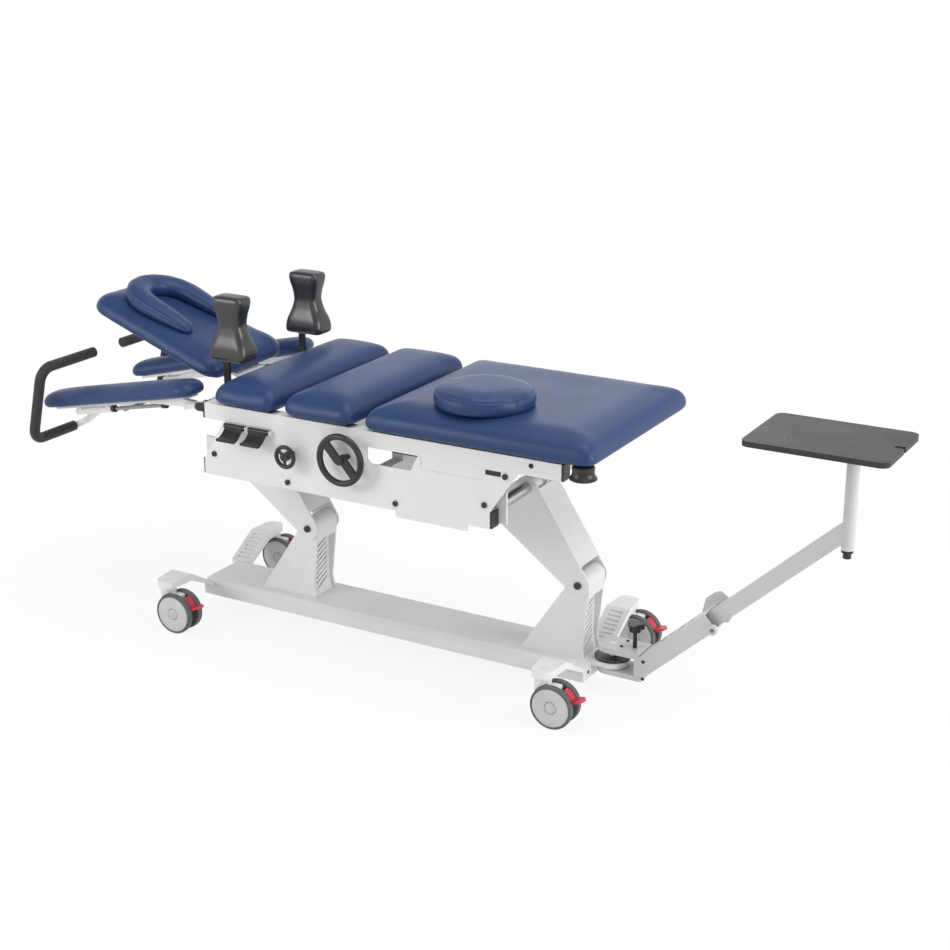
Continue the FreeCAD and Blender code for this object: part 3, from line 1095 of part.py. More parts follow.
def armrest(place, side):
    """One armrest: hinged carrier with its bent tube, strut, cushion and foam grip."""
    spot = dict(x=D.armrest_pivot_x, y=D.armrest_y * side, z=D.armrest_pivot_z, axis="Y",
                angle=-1 * D.armrest_tilt)
    yaw = D.armrest_yaw.value * side
    start, end = -D.armrest_start.value, -D.armrest_start.value - D.armrest_length.value
    half, low = D.armrest_half.value, D.armrest_drop.value
    top = low + D.armrest_plate.value

    def yawed(shape):
        shape.rotate(FreeCAD.Vector(), AXES["Z"], yaw)
        return shape

    pad = cushion(oblong(end, start, half), [D.armrest_corner.value] * 4, D.armrest_thick.value, 0.7)
    pad.translate(FreeCAD.Vector(0, D.armrest_out.value * side, top))
    node(f"{place}_armrest_cushion", plain(f"armrest_{place}_pad", yawed(pad)), **spot)

    radius, height, back = D.strut_radius.value, D.strut_height.value, D.strut_back.value
    first, long = D.strut_body_start.value, D.strut_body_long.value
    width, saddle = D.carrier_half.value, D.strut_saddle.value
    rod_run = Part.makeCylinder(radius, first + saddle * 2 - back, FreeCAD.Vector(-back, 0, height),
                                -AXES["X"])
    collar = Part.makeCylinder(D.strut_body.value, saddle, FreeCAD.Vector(saddle - first, 0, height),
                               -AXES["X"])
    knob = Part.makeCylinder(D.strut_knob.value, saddle * 1.4, FreeCAD.Vector(-back, 0, height),
                             -AXES["X"])
    strut = rod_run.fuse([collar, knob]).removeSplitter()
    node(f"{place}_armrest_strut", plain(f"armrest_{place}_strut", yawed(strut)), **spot)

    edge = D.armrest_edge.value
    plate = Part.makeBox(D.armrest_length.value - edge * 2, half, top - low,
                         FreeCAD.Vector(end + edge, -half / 2, low))
    body = Part.makeCylinder(D.strut_body.value, long, FreeCAD.Vector(-first, 0, height), -AXES["X"])
    saddles = [
        Part.makeBox(saddle, width * 2, low - height, FreeCAD.Vector(-spot_x - saddle, -width, height))
        for spot_x in (back, first + saddle, first + long - saddle * 2)
    ]
    reach = D.carrier_long.value
    side_view = [(-reach * 0.1, -width * 0.6), (-reach * 0.1, low * 0.5), (-reach * 0.3, low),
                 (-reach, low), (-reach, low * 0.8), (-reach * 0.5, low * 0.25)]
    profile = Part.Wire(Part.makePolygon([
        FreeCAD.Vector(u, -width, v) for u, v in side_view + side_view[:1]
    ]))
    wedge = Part.Face(profile).extrude(FreeCAD.Vector(0, width * 2, 0))
    carrier = yawed(plate.fuse(saddles + [wedge, body]).cut(rod_run.fuse([collar, knob])))
    gap = D.plate_thick.value + D.clear_gap.value
    eye_half = D.rail_wide.value / 2 - gap
    eye = Part.makeCylinder(D.knuckle_radius.value, eye_half * 2, FreeCAD.Vector(0, -eye_half, 0),
                            AXES["Y"])
    neck = D.knuckle_radius.value
    arm = Part.makeBox(neck * 5, eye_half * 2, neck * 1.2, FreeCAD.Vector(-neck * 5, -eye_half,
                                                                          -neck * 0.5))
    hole = D.hinge_rod.value + D.running_fit.value
    bore = Part.makeCylinder(hole, eye_half * 2, FreeCAD.Vector(0, -eye_half, 0), AXES["Y"])
    path = grip_path(side)
    bends = [D.grip_bend.value * 0.7, D.grip_bend.value, D.grip_bend.value]
    bar = tube(path, D.grip_tube.value, bends)
    frame = carrier.fuse([eye, arm, bar]).cut(bore).removeSplitter()
    node(f"{place}_armrest_frame", plain(f"armrest_{place}_frame", frame), **spot)

    lower = FreeCAD.Vector(*path[2])
    run = (FreeCAD.Vector(*path[1]) - lower) * 0.78
    sleeve_path = [tuple(lower + run)] + path[2:]
    foam = tube(sleeve_path, D.grip_foam.value, bends[1:])
    core = tube(sleeve_path, D.grip_tube.value + D.running_fit.value / 3, bends[1:])
    tip = FreeCAD.Vector(*path[-1])
    cap = Part.makeCylinder(D.grip_foam.value, D.grip_foam.value * 0.3, tip, tip - FreeCAD.Vector(*path[-2]))
    node(f"{place}_hand_grip", plain(f"grip_{place}", foam.cut(core).fuse(cap).removeSplitter()), **spot)


def grip_path(side):
    """The grip tube's corners in the armrest's own frame, from inside the plate to the grip's end."""
    tilt = math.radians(D.armrest_tilt.value)
    yaw = math.radians(D.armrest_yaw.value)

    def local(x, y, z):
        dx, dz = x - D.armrest_pivot_x.value, z - D.armrest_pivot_z.value
        along = dx * math.cos(tilt) + dz * math.sin(tilt)
        up = dz * math.cos(tilt) - dx * math.sin(tilt)
        return (along, (D.armrest_y.value - y) * -side, up)

    low_x, low_z = D.grip_low_x.value, D.grip_low_z.value
    high_x, high_z, outer = D.grip_high_x.value, D.grip_high_z.value, D.grip_outer_y.value
    reach = 430
    inside = D.armrest_drop.value - D.grip_tube.value * 0.4
    start = (-reach * math.cos(yaw), -reach * math.sin(yaw) * side, inside)
    return [
        start, local(low_x, D.tube_turn_y.value, low_z), local(low_x, outer, low_z),
        local(high_x, outer, high_z), local(high_x, D.grip_inner_y.value, high_z),
    ]


# Post pad sections as (height, width along the table, depth across it), each a share of the full size.
POST_FORM = ((0, 0.92, 0.90), (0.03, 0.99, 0.98), (0.09, 1.0, 1.0), (0.22, 0.95, 0.94),
             (0.40, 0.74, 0.74), (0.55, 0.62, 0.64), (0.70, 0.68, 0.70), (0.86, 0.80, 0.80),
             (0.95, 0.82, 0.82), (0.985, 0.79, 0.79), (1, 0.72, 0.71))


def build_posts():
    for place, side in (("near", -1), ("far", 1)):
        y = D.post_y * side
        half_x, half_y, deep = D.stem_wide / 2, D.stem_deep / 2, D.pad_socket.value
        stem = block(f"post_{place}_stem", D.post_x - half_x, D.post_x + half_x, y - half_y,
                     y + half_y, D.stem_bottom, D.pad_bottom + D.pad_socket)
        node(f"{place}_post_stem", group(f"post_{place}_group", [stem]))
        wires = []
        for rise, long, across in POST_FORM:
            a, b = D.pad_long.value * long / 2, D.pad_deep.value * across / 2
            corner = [D.pad_corner.value] * 4
            wires.append(rounded_wire(oblong(-a, a, b), corner, rise * D.pad_tall.value))
        pad = Part.makeLoft(wires, True, True)
        hole = Part.makeBox(D.stem_wide.value, D.stem_deep.value, deep, FreeCAD.Vector(
            -D.pad_shift.value - half_x.value, -half_y.value, 0))
        node(f"{place}_post_pad", plain(f"post_{place}_pad", pad.cut(hole)), D.post_x + D.pad_shift,
             y, D.pad_bottom)


def build_controls():
    face = D.rail_half_width - D.panel_inset
    top = D.rail_top - D.rail_tall
    for index in range(2):
        x = D.paddle_x + D.paddle_pitch * index
        half, barrel = D.paddle_wide / 2, D.paddle_barrel
        y, z = -1 * face - barrel - D.slide_gap, top - barrel - D.clear_gap * 2
        bar = rod(f"paddle{index}_bar", "X", barrel, x - half * 1.25, y, z, half * 2.5)
        piece = Piece(f"paddle{index}_blade")
        reach, drop, thick = D.paddle_reach, D.paddle_drop, D.paddle_thick
        spoon = ((0.30, 0.40), (0.50, 0.72), (0.72, 0.92), (0.90, 0.96), (1.0, 0.88))
        upper = [(y - reach * u, z - drop * v + thick / 2) for u, v in spoon]
        lower = [(y - reach * u, z - drop * v - thick / 2) for u, v in reversed(spoon)]
        profile = [(y + barrel * 0.6, z - barrel * 0.5), (y + barrel * 0.2, z + barrel * 0.9)]
        profile += [(y - barrel, z + barrel * 0.3)] + upper + lower + [(y - barrel, z - barrel)]
        piece.pad("YZ", x - half, x + half, profile)
        deep = barrel + D.clear_gap
        bores = [
            rod(f"paddle{index}_bore{name}", "X", D.button_shank + D.running_fit, start, y, z, deep)
            for name, start in (("a", x - half * 1.25), ("b", x + half * 1.25 - deep))
        ]
        solid = join(f"paddle{index}_solid", [bar, piece.body])
        node(f"release_paddle_{index + 1}", take(f"paddle{index}_cut", solid, bores))

    for name, x, z, radius, rim in (
        ("small_handwheel", D.small_wheel_x, D.small_wheel_z, D.small_wheel_radius, D.small_rim),
        ("large_handwheel", D.large_wheel_x, D.large_wheel_z, D.large_wheel_radius, D.large_rim),
    ):
        y = -1 * face - D.wheel_standoff
        hoop = ring(f"{name}_rim", "Y", radius - rim, rim, x, y, z)
        shaft = rod(f"{name}_shaft", "Y", D.wheel_shaft, x, y, z,
                    D.wheel_standoff + D.panel_thick + D.wheel_shaft_in)
        hub = rod(f"{name}_hub", "Y", D.wheel_shaft * 1.6, x, y - rim, z, rim * 3)
        spokes = []
        count = 3 if name.startswith("small") else 2
        for spoke in range(count):
            bar = doc.addObject("Part::Box", f"{name}_spoke{spoke}")
            bind(bar, "Length", radius - rim)
            bind(bar, "Width", rim)
            bind(bar, "Height", rim * (1.2 if count == 3 else 2.6))
            turn = 360.0 / count * spoke + (90 if count == 3 else 48)
            middle = FreeCAD.Rotation(AXES["Y"], turn)
            shift = middle.multVec(FreeCAD.Vector(0, 0, -bar.Height.Value / 2))
            bar.Placement = FreeCAD.Placement(FreeCAD.Vector(), middle)
            settle(bar, x + shift.x, y - rim / 2, z + shift.z)
            spokes.append(bar)
        if count == 3:
            lean = 0.7071
            reach = radius - rim
            spokes.append(rod(f"{name}_crank", "Y", rim * 0.9, x + reach * lean, y - rim * 3,
                              z + reach * lean, rim * 3))
        node(name, join(f"{name}_solid", [hoop, shaft, hub] + spokes))


def build_traction():
    x = D.swing_x
    shelf = block("stand_shelf", D.beam_foot_end, x, -1 * D.bracket_half, D.bracket_half,
                  D.drum_bottom, D.drum_bottom + D.bracket_plate)
    drum = rod("stand_drum", "Z", D.drum_radius, x, ZERO, D.drum_bottom, D.drum_top - D.drum_bottom)
    spindle = rod("stand_spindle", "Z", D.spindle, x, ZERO, D.bracket_bottom,
                  D.bracket_top - D.bracket_bottom)
    node("traction_base_bracket", join("stand_base", [shelf, drum, spindle]))
    disc = rod("index_full", "Z", D.disc_radius, x, ZERO, D.drum_top, D.disc_thick)
    hole = rod("index_hole", "Z", D.spindle, x, ZERO, D.drum_top, D.disc_thick)
    node("index_disc", take("index_cut", disc, [hole]))

    low, high, plate = D.bracket_bottom, D.bracket_top, D.bracket_plate
    piece = Piece("swing_bracket")
    back = D.bracket_back
    outline = [
        (x, low), (back, low), (back, high), (x, high), (x, high - plate),
        (back - plate, high - plate), (back - plate, low + plate), (x, low + plate),
    ]
    piece.pad("XZ", -1 * D.bracket_half, D.bracket_half, outline)
    piece.pad("XY", low, low + plate, (x, ZERO, D.bracket_half))
    piece.pad("XY", high - plate, high, (x, ZERO, D.bracket_half))
    piece.pocket("XY", low, high, (x, ZERO, D.spindle + D.running_fit))
    piece.pocket("XY", high - plate, high, (D.clamp_x, ZERO, D.clamp_rod + D.running_fit))
    node("swing_bracket", piece.body)

    z = high
    stalk = rod("clamp_stalk", "Z", D.clamp_rod, D.clamp_x, ZERO, z - plate, D.clamp_height + plate)
    head_z = z + D.clamp_height
    core = rod("clamp_core", "Z", D.clamp_head_radius * 0.62, D.clamp_x, ZERO, head_z,
               D.clamp_head_tall)
    lobes = []
    for lobe in range(int(D.clamp_lobes.value)):
        turn = math.radians(360.0 / D.clamp_lobes.value * lobe + 30)
        reach = D.clamp_head_radius * 0.55
        lobes.append(rod(f"clamp_lobe{lobe}", "Z", D.clamp_head_radius * 0.45,
                         D.clamp_x + reach * math.cos(turn), ZERO + reach * math.sin(turn),
                         head_z + D.clamp_head_tall * 0.35, D.clamp_head_tall * 0.65))
    node("clamp_knob", join("clamp_solid", [stalk, core] + lobes))
    build_arm()


def build_arm():
    """The rising arm: open channel, inner bar with its post, tray and lock plunger."""
    foot_x, foot_z = D.bracket_back, D.bracket_bottom + D.clear_gap * 2
    rise_s, rise_c = sine(D.arm_rise), cosine(D.arm_rise)

    def along(step, up):
        """A point up the arm and square to it, from the channel's lowest corner."""
        return (foot_x + rise_c * step - rise_s * up, foot_z + rise_s * step + rise_c * up)

    half, sheet_thick = D.channel_half, D.channel_sheet
    piece = Piece("outer_arm")
    near_top, far_top, end = D.channel_near, D.channel_far, D.channel_long
    lid = near_top + sheet_thick
    heel = [(foot_x, foot_z + lid / rise_c), (foot_x, foot_z)]
    piece.pad("XZ", -1 * half, sheet_thick - half, [along(end, ZERO), along(end, lid)] + heel)
    piece.pad("XZ", -1 * half, half, [along(ZERO, ZERO), along(end, ZERO), along(end, sheet_thick),
                                      along(sheet_thick, sheet_thick)])
    piece.pad("XZ", half - sheet_thick, half, [
        along(end, ZERO), along(end + far_top * 0.53, far_top * 0.55),
        along(end + far_top * 0.42, far_top * 0.92), along(end + far_top * 0.2, far_top),
        along(end * 0.94, far_top), along(end * 0.82, lid),
    ] + heel)
    piece.pad("XZ", -1 * half, half, [
        along(end, near_top), along(end, lid), heel[0], (foot_x, foot_z + near_top / rise_c),
    ])
    foot = rectangle(foot_x, foot_x + sheet_thick * 2, foot_z, foot_z + near_top)
    piece.pad("XZ", -1 * half, half, foot)
    slot_wide = end * 0.075
    for index in range(4):
        first = end * 0.34 + end * 0.13 * index
        piece.pocket("XZ", half * -0.4, half * 0.4, [
            along(first, near_top * 0.98), along(first + slot_wide, near_top * 0.98),
            along(first + slot_wide, lid * 1.02), along(first, lid * 1.02),
        ])
    boss = along(end - sheet_thick, sheet_thick * 1.5)
    out = D.boss_radius * 0.6
    for low, high in ((-1 * half - out, sheet_thick - half), (half - sheet_thick, half + out)):
        piece.pad("XZ", low, high, (boss[0], boss[1], D.boss_radius * 0.8))
        piece.pocket("XZ", low, high, (boss[0], boss[1], D.boss_radius * 0.4))
    node("outer_arm", piece.body)

    bar = Piece("inner_arm")
    seat = sheet_thick
    bar_half, tall = D.inner_half, D.inner_tall
    begin = end - D.inner_overlap
    post_x, radius = D.tray_post_x, D.tray_post_radius
    span = (post_x - foot_x) / rise_c
    low_end, high_end = span + seat * 0.9, span + (seat + tall) * 0.9
    bar.pad("XZ", -1 * bar_half, bar_half, [
        along(begin, seat), along(low_end, seat), along(high_end, seat + tall),
        along(begin, seat + tall),
    ])
    under = D.tray_top - D.tray_thick
    bar.pad("XY", D.tray_post_bottom, under - D.slide_gap, (post_x, ZERO, radius))
    bar.pocket("XY", D.tray_post_bottom, D.tray_post_bottom + D.plunger_bore,
               (post_x, ZERO, D.plunger_stem + D.running_fit))
    node("inner_arm", bar.body)

    tray = Piece("tray")
    edge, length, wide = D.tray_head_edge, D.tray_length, D.tray_half
    tray.pad("XY", under, D.tray_top, rectangle(edge, edge + length, -1 * wide, wide))
    tray.round(D.tray_corner, lambda e, m: abs(e.tangentAt(e.FirstParameter).z) > 0.99)
    notch = D.notch_wide / 2
    tray.pocket("XY", under, D.tray_top, (D.tray_hole_x, D.tray_hole_y, D.tray_hole),
                rectangle(edge + length - D.notch_deep, edge + length + 1, -1 * notch, notch))
    tray.pad("XY", under - D.tray_boss_tall, under, (post_x, ZERO, D.tray_boss))
    tray.pocket("XY", under - D.tray_boss_tall, under, (post_x, ZERO, radius + D.running_fit))
    node("tray", tray.body)

    base = D.tray_post_bottom - D.slide_gap
    thin, tip_long = D.plunger_collar * 0.4375, D.plunger_collar
    stem = rod("plunger_stem", "Z", D.plunger_stem, post_x, ZERO, base - thin, D.plunger_bore * 0.875)
    collar = rod("plunger_collar", "Z", D.plunger_collar, post_x, ZERO, base - thin, thin)
    tip = rod("plunger_tip", "Z", D.plunger_tip, post_x, ZERO, base - thin - tip_long, tip_long)
    node("lock_plunger", join("plunger_solid", [stem, collar, tip]))


build_base()
for end_name, end_sign in (("head", -1), ("foot", 1)):
    for side_name, side_sign in (("near", -1), ("far", 1)):
        caster(f"{end_name}_{side_name}", end_sign, side_sign)
build_lift()
build_frame()
build_sections()
release_handle()
build_head()
build_round_cushion()
armrest("near", -1)
armrest("far", 1)
build_posts()
build_controls()
build_traction()
doc.recompute()

for item in doc.Objects:
    if "Invalid" in item.State or "Error" in item.State:
        raise RuntimeError(f"{item.Label} did not build: {item.State}")
os.makedirs("parts", exist_ok=True)
for name, item in NODES.items():
    if item.Shape.isNull() or not item.Shape.isValid() or not item.Shape.Solids:
        raise RuntimeError(f"{name} has no valid solid")
    item.Shape.exportStep(f"parts/{name}.step")
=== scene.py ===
"""Looks of the traction table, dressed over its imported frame.

Lengths are metres in the frame's axes: +X runs from the head end to the foot end, -Y is the near side
and +Z is up. Angles are degrees where they are fields or constants, and radians inside the methods.
"""

import logging
import math
from collections.abc import Callable, Sequence
from dataclasses import dataclass, field, replace
from enum import Enum

import bmesh
import bpy
import numpy as np
from mathutils import Matrix, Quaternion, Vector
from mathutils.bvhtree import BVHTree
from mathutils.kdtree import KDTree


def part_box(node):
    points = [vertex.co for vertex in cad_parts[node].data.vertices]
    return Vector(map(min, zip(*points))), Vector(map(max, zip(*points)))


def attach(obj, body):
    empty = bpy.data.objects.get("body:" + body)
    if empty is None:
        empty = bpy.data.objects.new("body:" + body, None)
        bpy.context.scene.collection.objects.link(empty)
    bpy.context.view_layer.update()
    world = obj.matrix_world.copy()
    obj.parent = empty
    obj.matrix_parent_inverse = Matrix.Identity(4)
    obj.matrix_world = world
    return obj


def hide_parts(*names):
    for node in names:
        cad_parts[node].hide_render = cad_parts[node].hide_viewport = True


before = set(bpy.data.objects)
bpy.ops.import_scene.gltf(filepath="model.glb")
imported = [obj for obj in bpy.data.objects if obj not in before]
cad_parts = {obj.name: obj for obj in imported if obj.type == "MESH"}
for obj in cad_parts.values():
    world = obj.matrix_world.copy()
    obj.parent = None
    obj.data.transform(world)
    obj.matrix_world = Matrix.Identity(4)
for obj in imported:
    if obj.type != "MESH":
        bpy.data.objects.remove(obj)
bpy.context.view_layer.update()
LOG = logging.getLogger("traction_table")
HEAD_TILT = 17.7
ARMREST_TILT = -13.0
WHITE = (1.0, 1.0, 1.0)
Colour = tuple[float, float, float]
Point = tuple[float, float, float]
Outline = Sequence[tuple[float, float]]
Ray = tuple[Vector, Vector]
Socket = bpy.types.NodeSocket
Loop = list[bmesh.types.BMVert]


class Side(Enum):
    """The two long sides of the table, by the sign of Y."""

    NEAR = -1
    FAR = 1

    @property
    def label(self) -> str:
        """The side's word in the names of nodes and bodies."""
        return self.name.lower()


class Texture(Enum):
    """The fine relief of a surface, by the node group that draws it."""

    GRAIN = "vinyl_grain"
    PEEL = "paint_peel"
    MOULD = "moulded_skin"
    PORES = "foam_pores"
    BRUSH = "brushed_lines"


class Sheet:
    """A node tree with short calls that fill it."""

    MIX_FIRST = 6
    MIX_SECOND = 7
    MIX_RESULT = 2

    def __init__(self, tree: bpy.types.NodeTree) -> None:
        """Keeps the tree that the calls fill."""
        self.tree = tree

    def add(self, kind: str, inputs: dict | None = None, **settings: object) -> bpy.types.Node:
        """Adds a node.

        Args:
            kind: Blender's name of the node type, without its ShaderNode prefix.
            inputs: values or output sockets for its inputs, by name or number.
            **settings: values for its own properties.

        Returns:
            The new node.
        """
        node = self.tree.nodes.new(f"ShaderNode{kind}")
        for name, value in settings.items():
            setattr(node, name, value)
        for name, value in (inputs or {}).items():
            self.feed(node.inputs[name], value)
        return node

    def feed(self, socket: Socket, value: object) -> None:
        """Links an output socket to an input, or sets the input's own value.

        Args:
            socket: the input.
            value: an output socket, or the value to set. A colour may leave its alpha out.
        """
        if isinstance(value, Socket):
            self.tree.links.new(value, socket)
        elif isinstance(value, tuple) and len(value) == 3 and socket.type == "RGBA":
            socket.default_value = (*value, 1.0)
        else:
            socket.default_value = value

    def sums(self, operation: str, first: object, second: object, clamp: bool = False) -> Socket:
        """The output of a Math node on two values or sockets."""
        return self.add("Math", {0: first, 1: second}, operation=operation, use_clamp=clamp).outputs[0]

    def mixture(self, first: Socket, second: Socket, share: float) -> Socket:
        """Two values added, the first by a share of one and the second by the rest."""
        rest = self.sums("MULTIPLY", second, 1.0 - share)
        return self.sums("ADD", self.sums("MULTIPLY", first, share), rest)

    def ramp(self, value: Socket, low: float, high: float, start: float = 0.0, end: float = 1.0) -> Socket:
        """A value between low and high spread over start to end, and clamped there."""
        spread = {"Value": value, "From Min": low, "From Max": high, "To Min": start, "To Max": end}
        return self.add("MapRange", spread).outputs["Result"]

    def blend(self, factor: Socket, first: object, second: object) -> Socket:
        """A colour between two others, by a factor."""
        ends = {"Factor": factor, self.MIX_FIRST: first, self.MIX_SECOND: second}
        return self.add("Mix", ends, data_type="RGBA").outputs[self.MIX_RESULT]

    def noise(self, place: Socket, scale: object, detail: float) -> Socket:
        """The value of a noise texture at a place."""
        return self.add("TexNoise", {"Vector": place, "Scale": scale, "Detail": detail}).outputs["Fac"]

    def place(self) -> Socket:
        """Where a point lies in its own piece, in metres."""
        return self.add("TexCoord").outputs["Object"]

    def facing(self) -> Socket:
        """The surface's normal."""
        return self.add("NewGeometry").outputs["Normal"]


HeightMaker = Callable[[Sheet, Socket, Socket], Socket]


class EffectGroups:
    """The node groups that several finishes share, each built once.

    A band is the stretch of a value that a ramp spreads from zero to one.
    """

    FLOAT = "NodeSocketFloat"
    MOTTLE_BAND = (0.3, 0.7)
    BEND_SCALE = 0.35
    BEND_REACH = 0.0016
    PEBBLE_BAND = (0.0, 0.28)
    PEBBLE_SHARE = 0.75
    PORE_SCALE = 3.0
    COARSE_SHARE = 0.6
    FINE_SCALE = 3.5
    FOAM_BAND = (0.15, 0.55)
    DRAWN_OUT = (0.06, 1.0, 1.0)
    BEVEL_SAMPLES = 4
    TURN_BAND = (0.985, 0.80)
    WORN_BAND = (0.42, 0.62)
    UPWARD_BAND = (0.55, 1.0)
    DUST_BAND = (0.35, 0.75)

    @classmethod
    def start(cls, name: str, inputs: dict[str, float],
              outputs: dict[str, str]) -> tuple[Sheet, dict[str, Socket], bpy.types.Node]:
        """Begins a group.

        Args:
            name: the group's name.
            inputs: its float inputs and their first values.
            outputs: its outputs and their socket types.

        Returns:
            The group's sheet, its input sockets by name, and its output node.
        """
        tree = bpy.data.node_groups.new(name, "ShaderNodeTree")
        for label, value in inputs.items():
            socket = tree.interface.new_socket(label, in_out="INPUT", socket_type=cls.FLOAT)
            socket.default_value = value
        for label, kind in outputs.items():
            tree.interface.new_socket(label, in_out="OUTPUT", socket_type=kind)
        given = tree.nodes.new("NodeGroupInput")
        result = tree.nodes.new("NodeGroupOutput")
        return Sheet(tree), {label: given.outputs[label] for label in inputs}, result

    @classmethod
    def relief(cls, texture: Texture, draw: HeightMaker) -> None:
        """A relief group: fine height and broad mottle.

        Args:
            texture: the texture that the group is for.
            draw: makes the height from the sheet, the place and the scale.
        """
        outputs = {"Height": cls.FLOAT, "Mottle": cls.FLOAT}
        sheet, given, result = cls.start(texture.value, {"Scale": 500.0, "Mottle Scale": 8.0}, outputs)
        place = sheet.place()
        sheet.feed(result.inputs["Height"], draw(sheet, place, given["Scale"]))
        broad = sheet.noise(place, given["Mottle Scale"], detail=4.0)
        sheet.feed(result.inputs["Mottle"], sheet.ramp(broad, *cls.MOTTLE_BAND))

    @classmethod
    def grain_height(cls, sheet: Sheet, place: Socket, scale: Socket) -> Socket:
        """Small rounded pebbles with creases between them, as pressed into vinyl.

        Args:
            sheet: the group's sheet.
            place: where the point lies.
            scale: how many pebbles there are in a metre.

        Returns:
            The height.
        """
        bend = sheet.noise(place, sheet.sums("MULTIPLY", scale, cls.BEND_SCALE), detail=2.0)
        shift = sheet.sums("MULTIPLY", bend, cls.BEND_REACH)
        moved = sheet.add("VectorMath", {0: place, 1: shift}, operation="ADD").outputs[0]
        cells = sheet.add("TexVoronoi", {"Vector": moved, "Scale": scale}, feature="DISTANCE_TO_EDGE")
        pebble = sheet.ramp(cells.outputs["Distance"], *cls.PEBBLE_BAND)
        pores = sheet.noise(place, sheet.sums("MULTIPLY", scale, cls.PORE_SCALE), detail=1.0)
        return sheet.mixture(pebble, pores, cls.PEBBLE_SHARE)

    @staticmethod
    def peel_height(sheet: Sheet, place: Socket, scale: Socket) -> Socket:
        """The low orange-peel waves of baked powder coat."""
        return sheet.noise(place, scale, detail=1.5)

    @classmethod
    def mould_height(cls, sheet: Sheet, place: Socket, scale: Socket) -> Socket:
        """The spark-eroded skin of moulded plastic."""
        fine = sheet.noise(place, sheet.sums("MULTIPLY", scale, cls.FINE_SCALE), detail=1.0)
        return sheet.mixture(sheet.noise(place, scale, detail=2.0), fine, cls.COARSE_SHARE)

    @classmethod
    def pores_height(cls, sheet: Sheet, place: Socket, scale: Socket) -> Socket:
        """The open pores of closed-cell foam."""
        cells = sheet.add("TexVoronoi", {"Vector": place, "Scale": scale})
        return sheet.ramp(cells.outputs["Distance"], *cls.FOAM_BAND)

    @classmethod
    def brush_height(cls, sheet: Sheet, place: Socket, scale: Socket) -> Socket:
        """Fine lines of turned or ground metal, drawn out along X."""
        drawn = sheet.add("Mapping", {"Vector": place, "Scale": cls.DRAWN_OUT})
        return sheet.noise(drawn.outputs[0], scale, detail=2.0)

    @classmethod
    def bevel(cls, sheet: Sheet, radius: Socket) -> Socket:
        """The normal of a surface whose edges are rounded."""
        return sheet.add("Bevel", {"Radius": radius}, samples=cls.BEVEL_SAMPLES).outputs[0]

    @classmethod
    def rounded_edge(cls) -> None:
        """The group for the normal of a rounded edge."""
        sheet, given, result = cls.start("rounded_edge", {"Radius": 0.001}, {"Normal": "NodeSocketVector"})
        sheet.feed(result.inputs["Normal"], cls.bevel(sheet, given["Radius"]))

    @classmethod
    def edge_wear(cls) -> None:
        """The group for the worn patches along an edge."""
        inputs = {"Radius": 0.002, "Patch Scale": 40.0}
        sheet, given, result = cls.start("edge_wear", inputs, {"Mask": cls.FLOAT})
        normals = {0: cls.bevel(sheet, given["Radius"]), 1: sheet.facing()}
        turn = sheet.add("VectorMath", normals, operation="DOT_PRODUCT").outputs["Value"]
        patch = sheet.ramp(sheet.noise(sheet.place(), given["Patch Scale"], detail=5.0), *cls.WORN_BAND)
        sheet.feed(result.inputs["Mask"], sheet.sums("MULTIPLY", sheet.ramp(turn, *cls.TURN_BAND), patch))

    @classmethod
    def settled_dust(cls) -> None:
        """The group for the dust that settles on upper sides."""
        sheet, given, result = cls.start("settled_dust", {"Patch Scale": 14.0}, {"Mask": cls.FLOAT})
        upward = sheet.add("SeparateXYZ", {0: sheet.facing()}).outputs["Z"]
        patch = sheet.ramp(sheet.noise(sheet.place(), given["Patch Scale"], detail=6.0), *cls.DUST_BAND)
        sheet.feed(result.inputs["Mask"], sheet.sums("MULTIPLY", sheet.ramp(upward, *cls.UPWARD_BAND), patch))

    @classmethod
    def build(cls) -> None:
        """Makes every group."""
        makers = {
            Texture.GRAIN: cls.grain_height, Texture.PEEL: cls.peel_height, Texture.MOULD: cls.mould_height,
            Texture.PORES: cls.pores_height, Texture.BRUSH: cls.brush_height,
        }
        for texture, draw in makers.items():
            cls.relief(texture, draw)
        cls.rounded_edge()
        cls.edge_wear()
        cls.settled_dust()


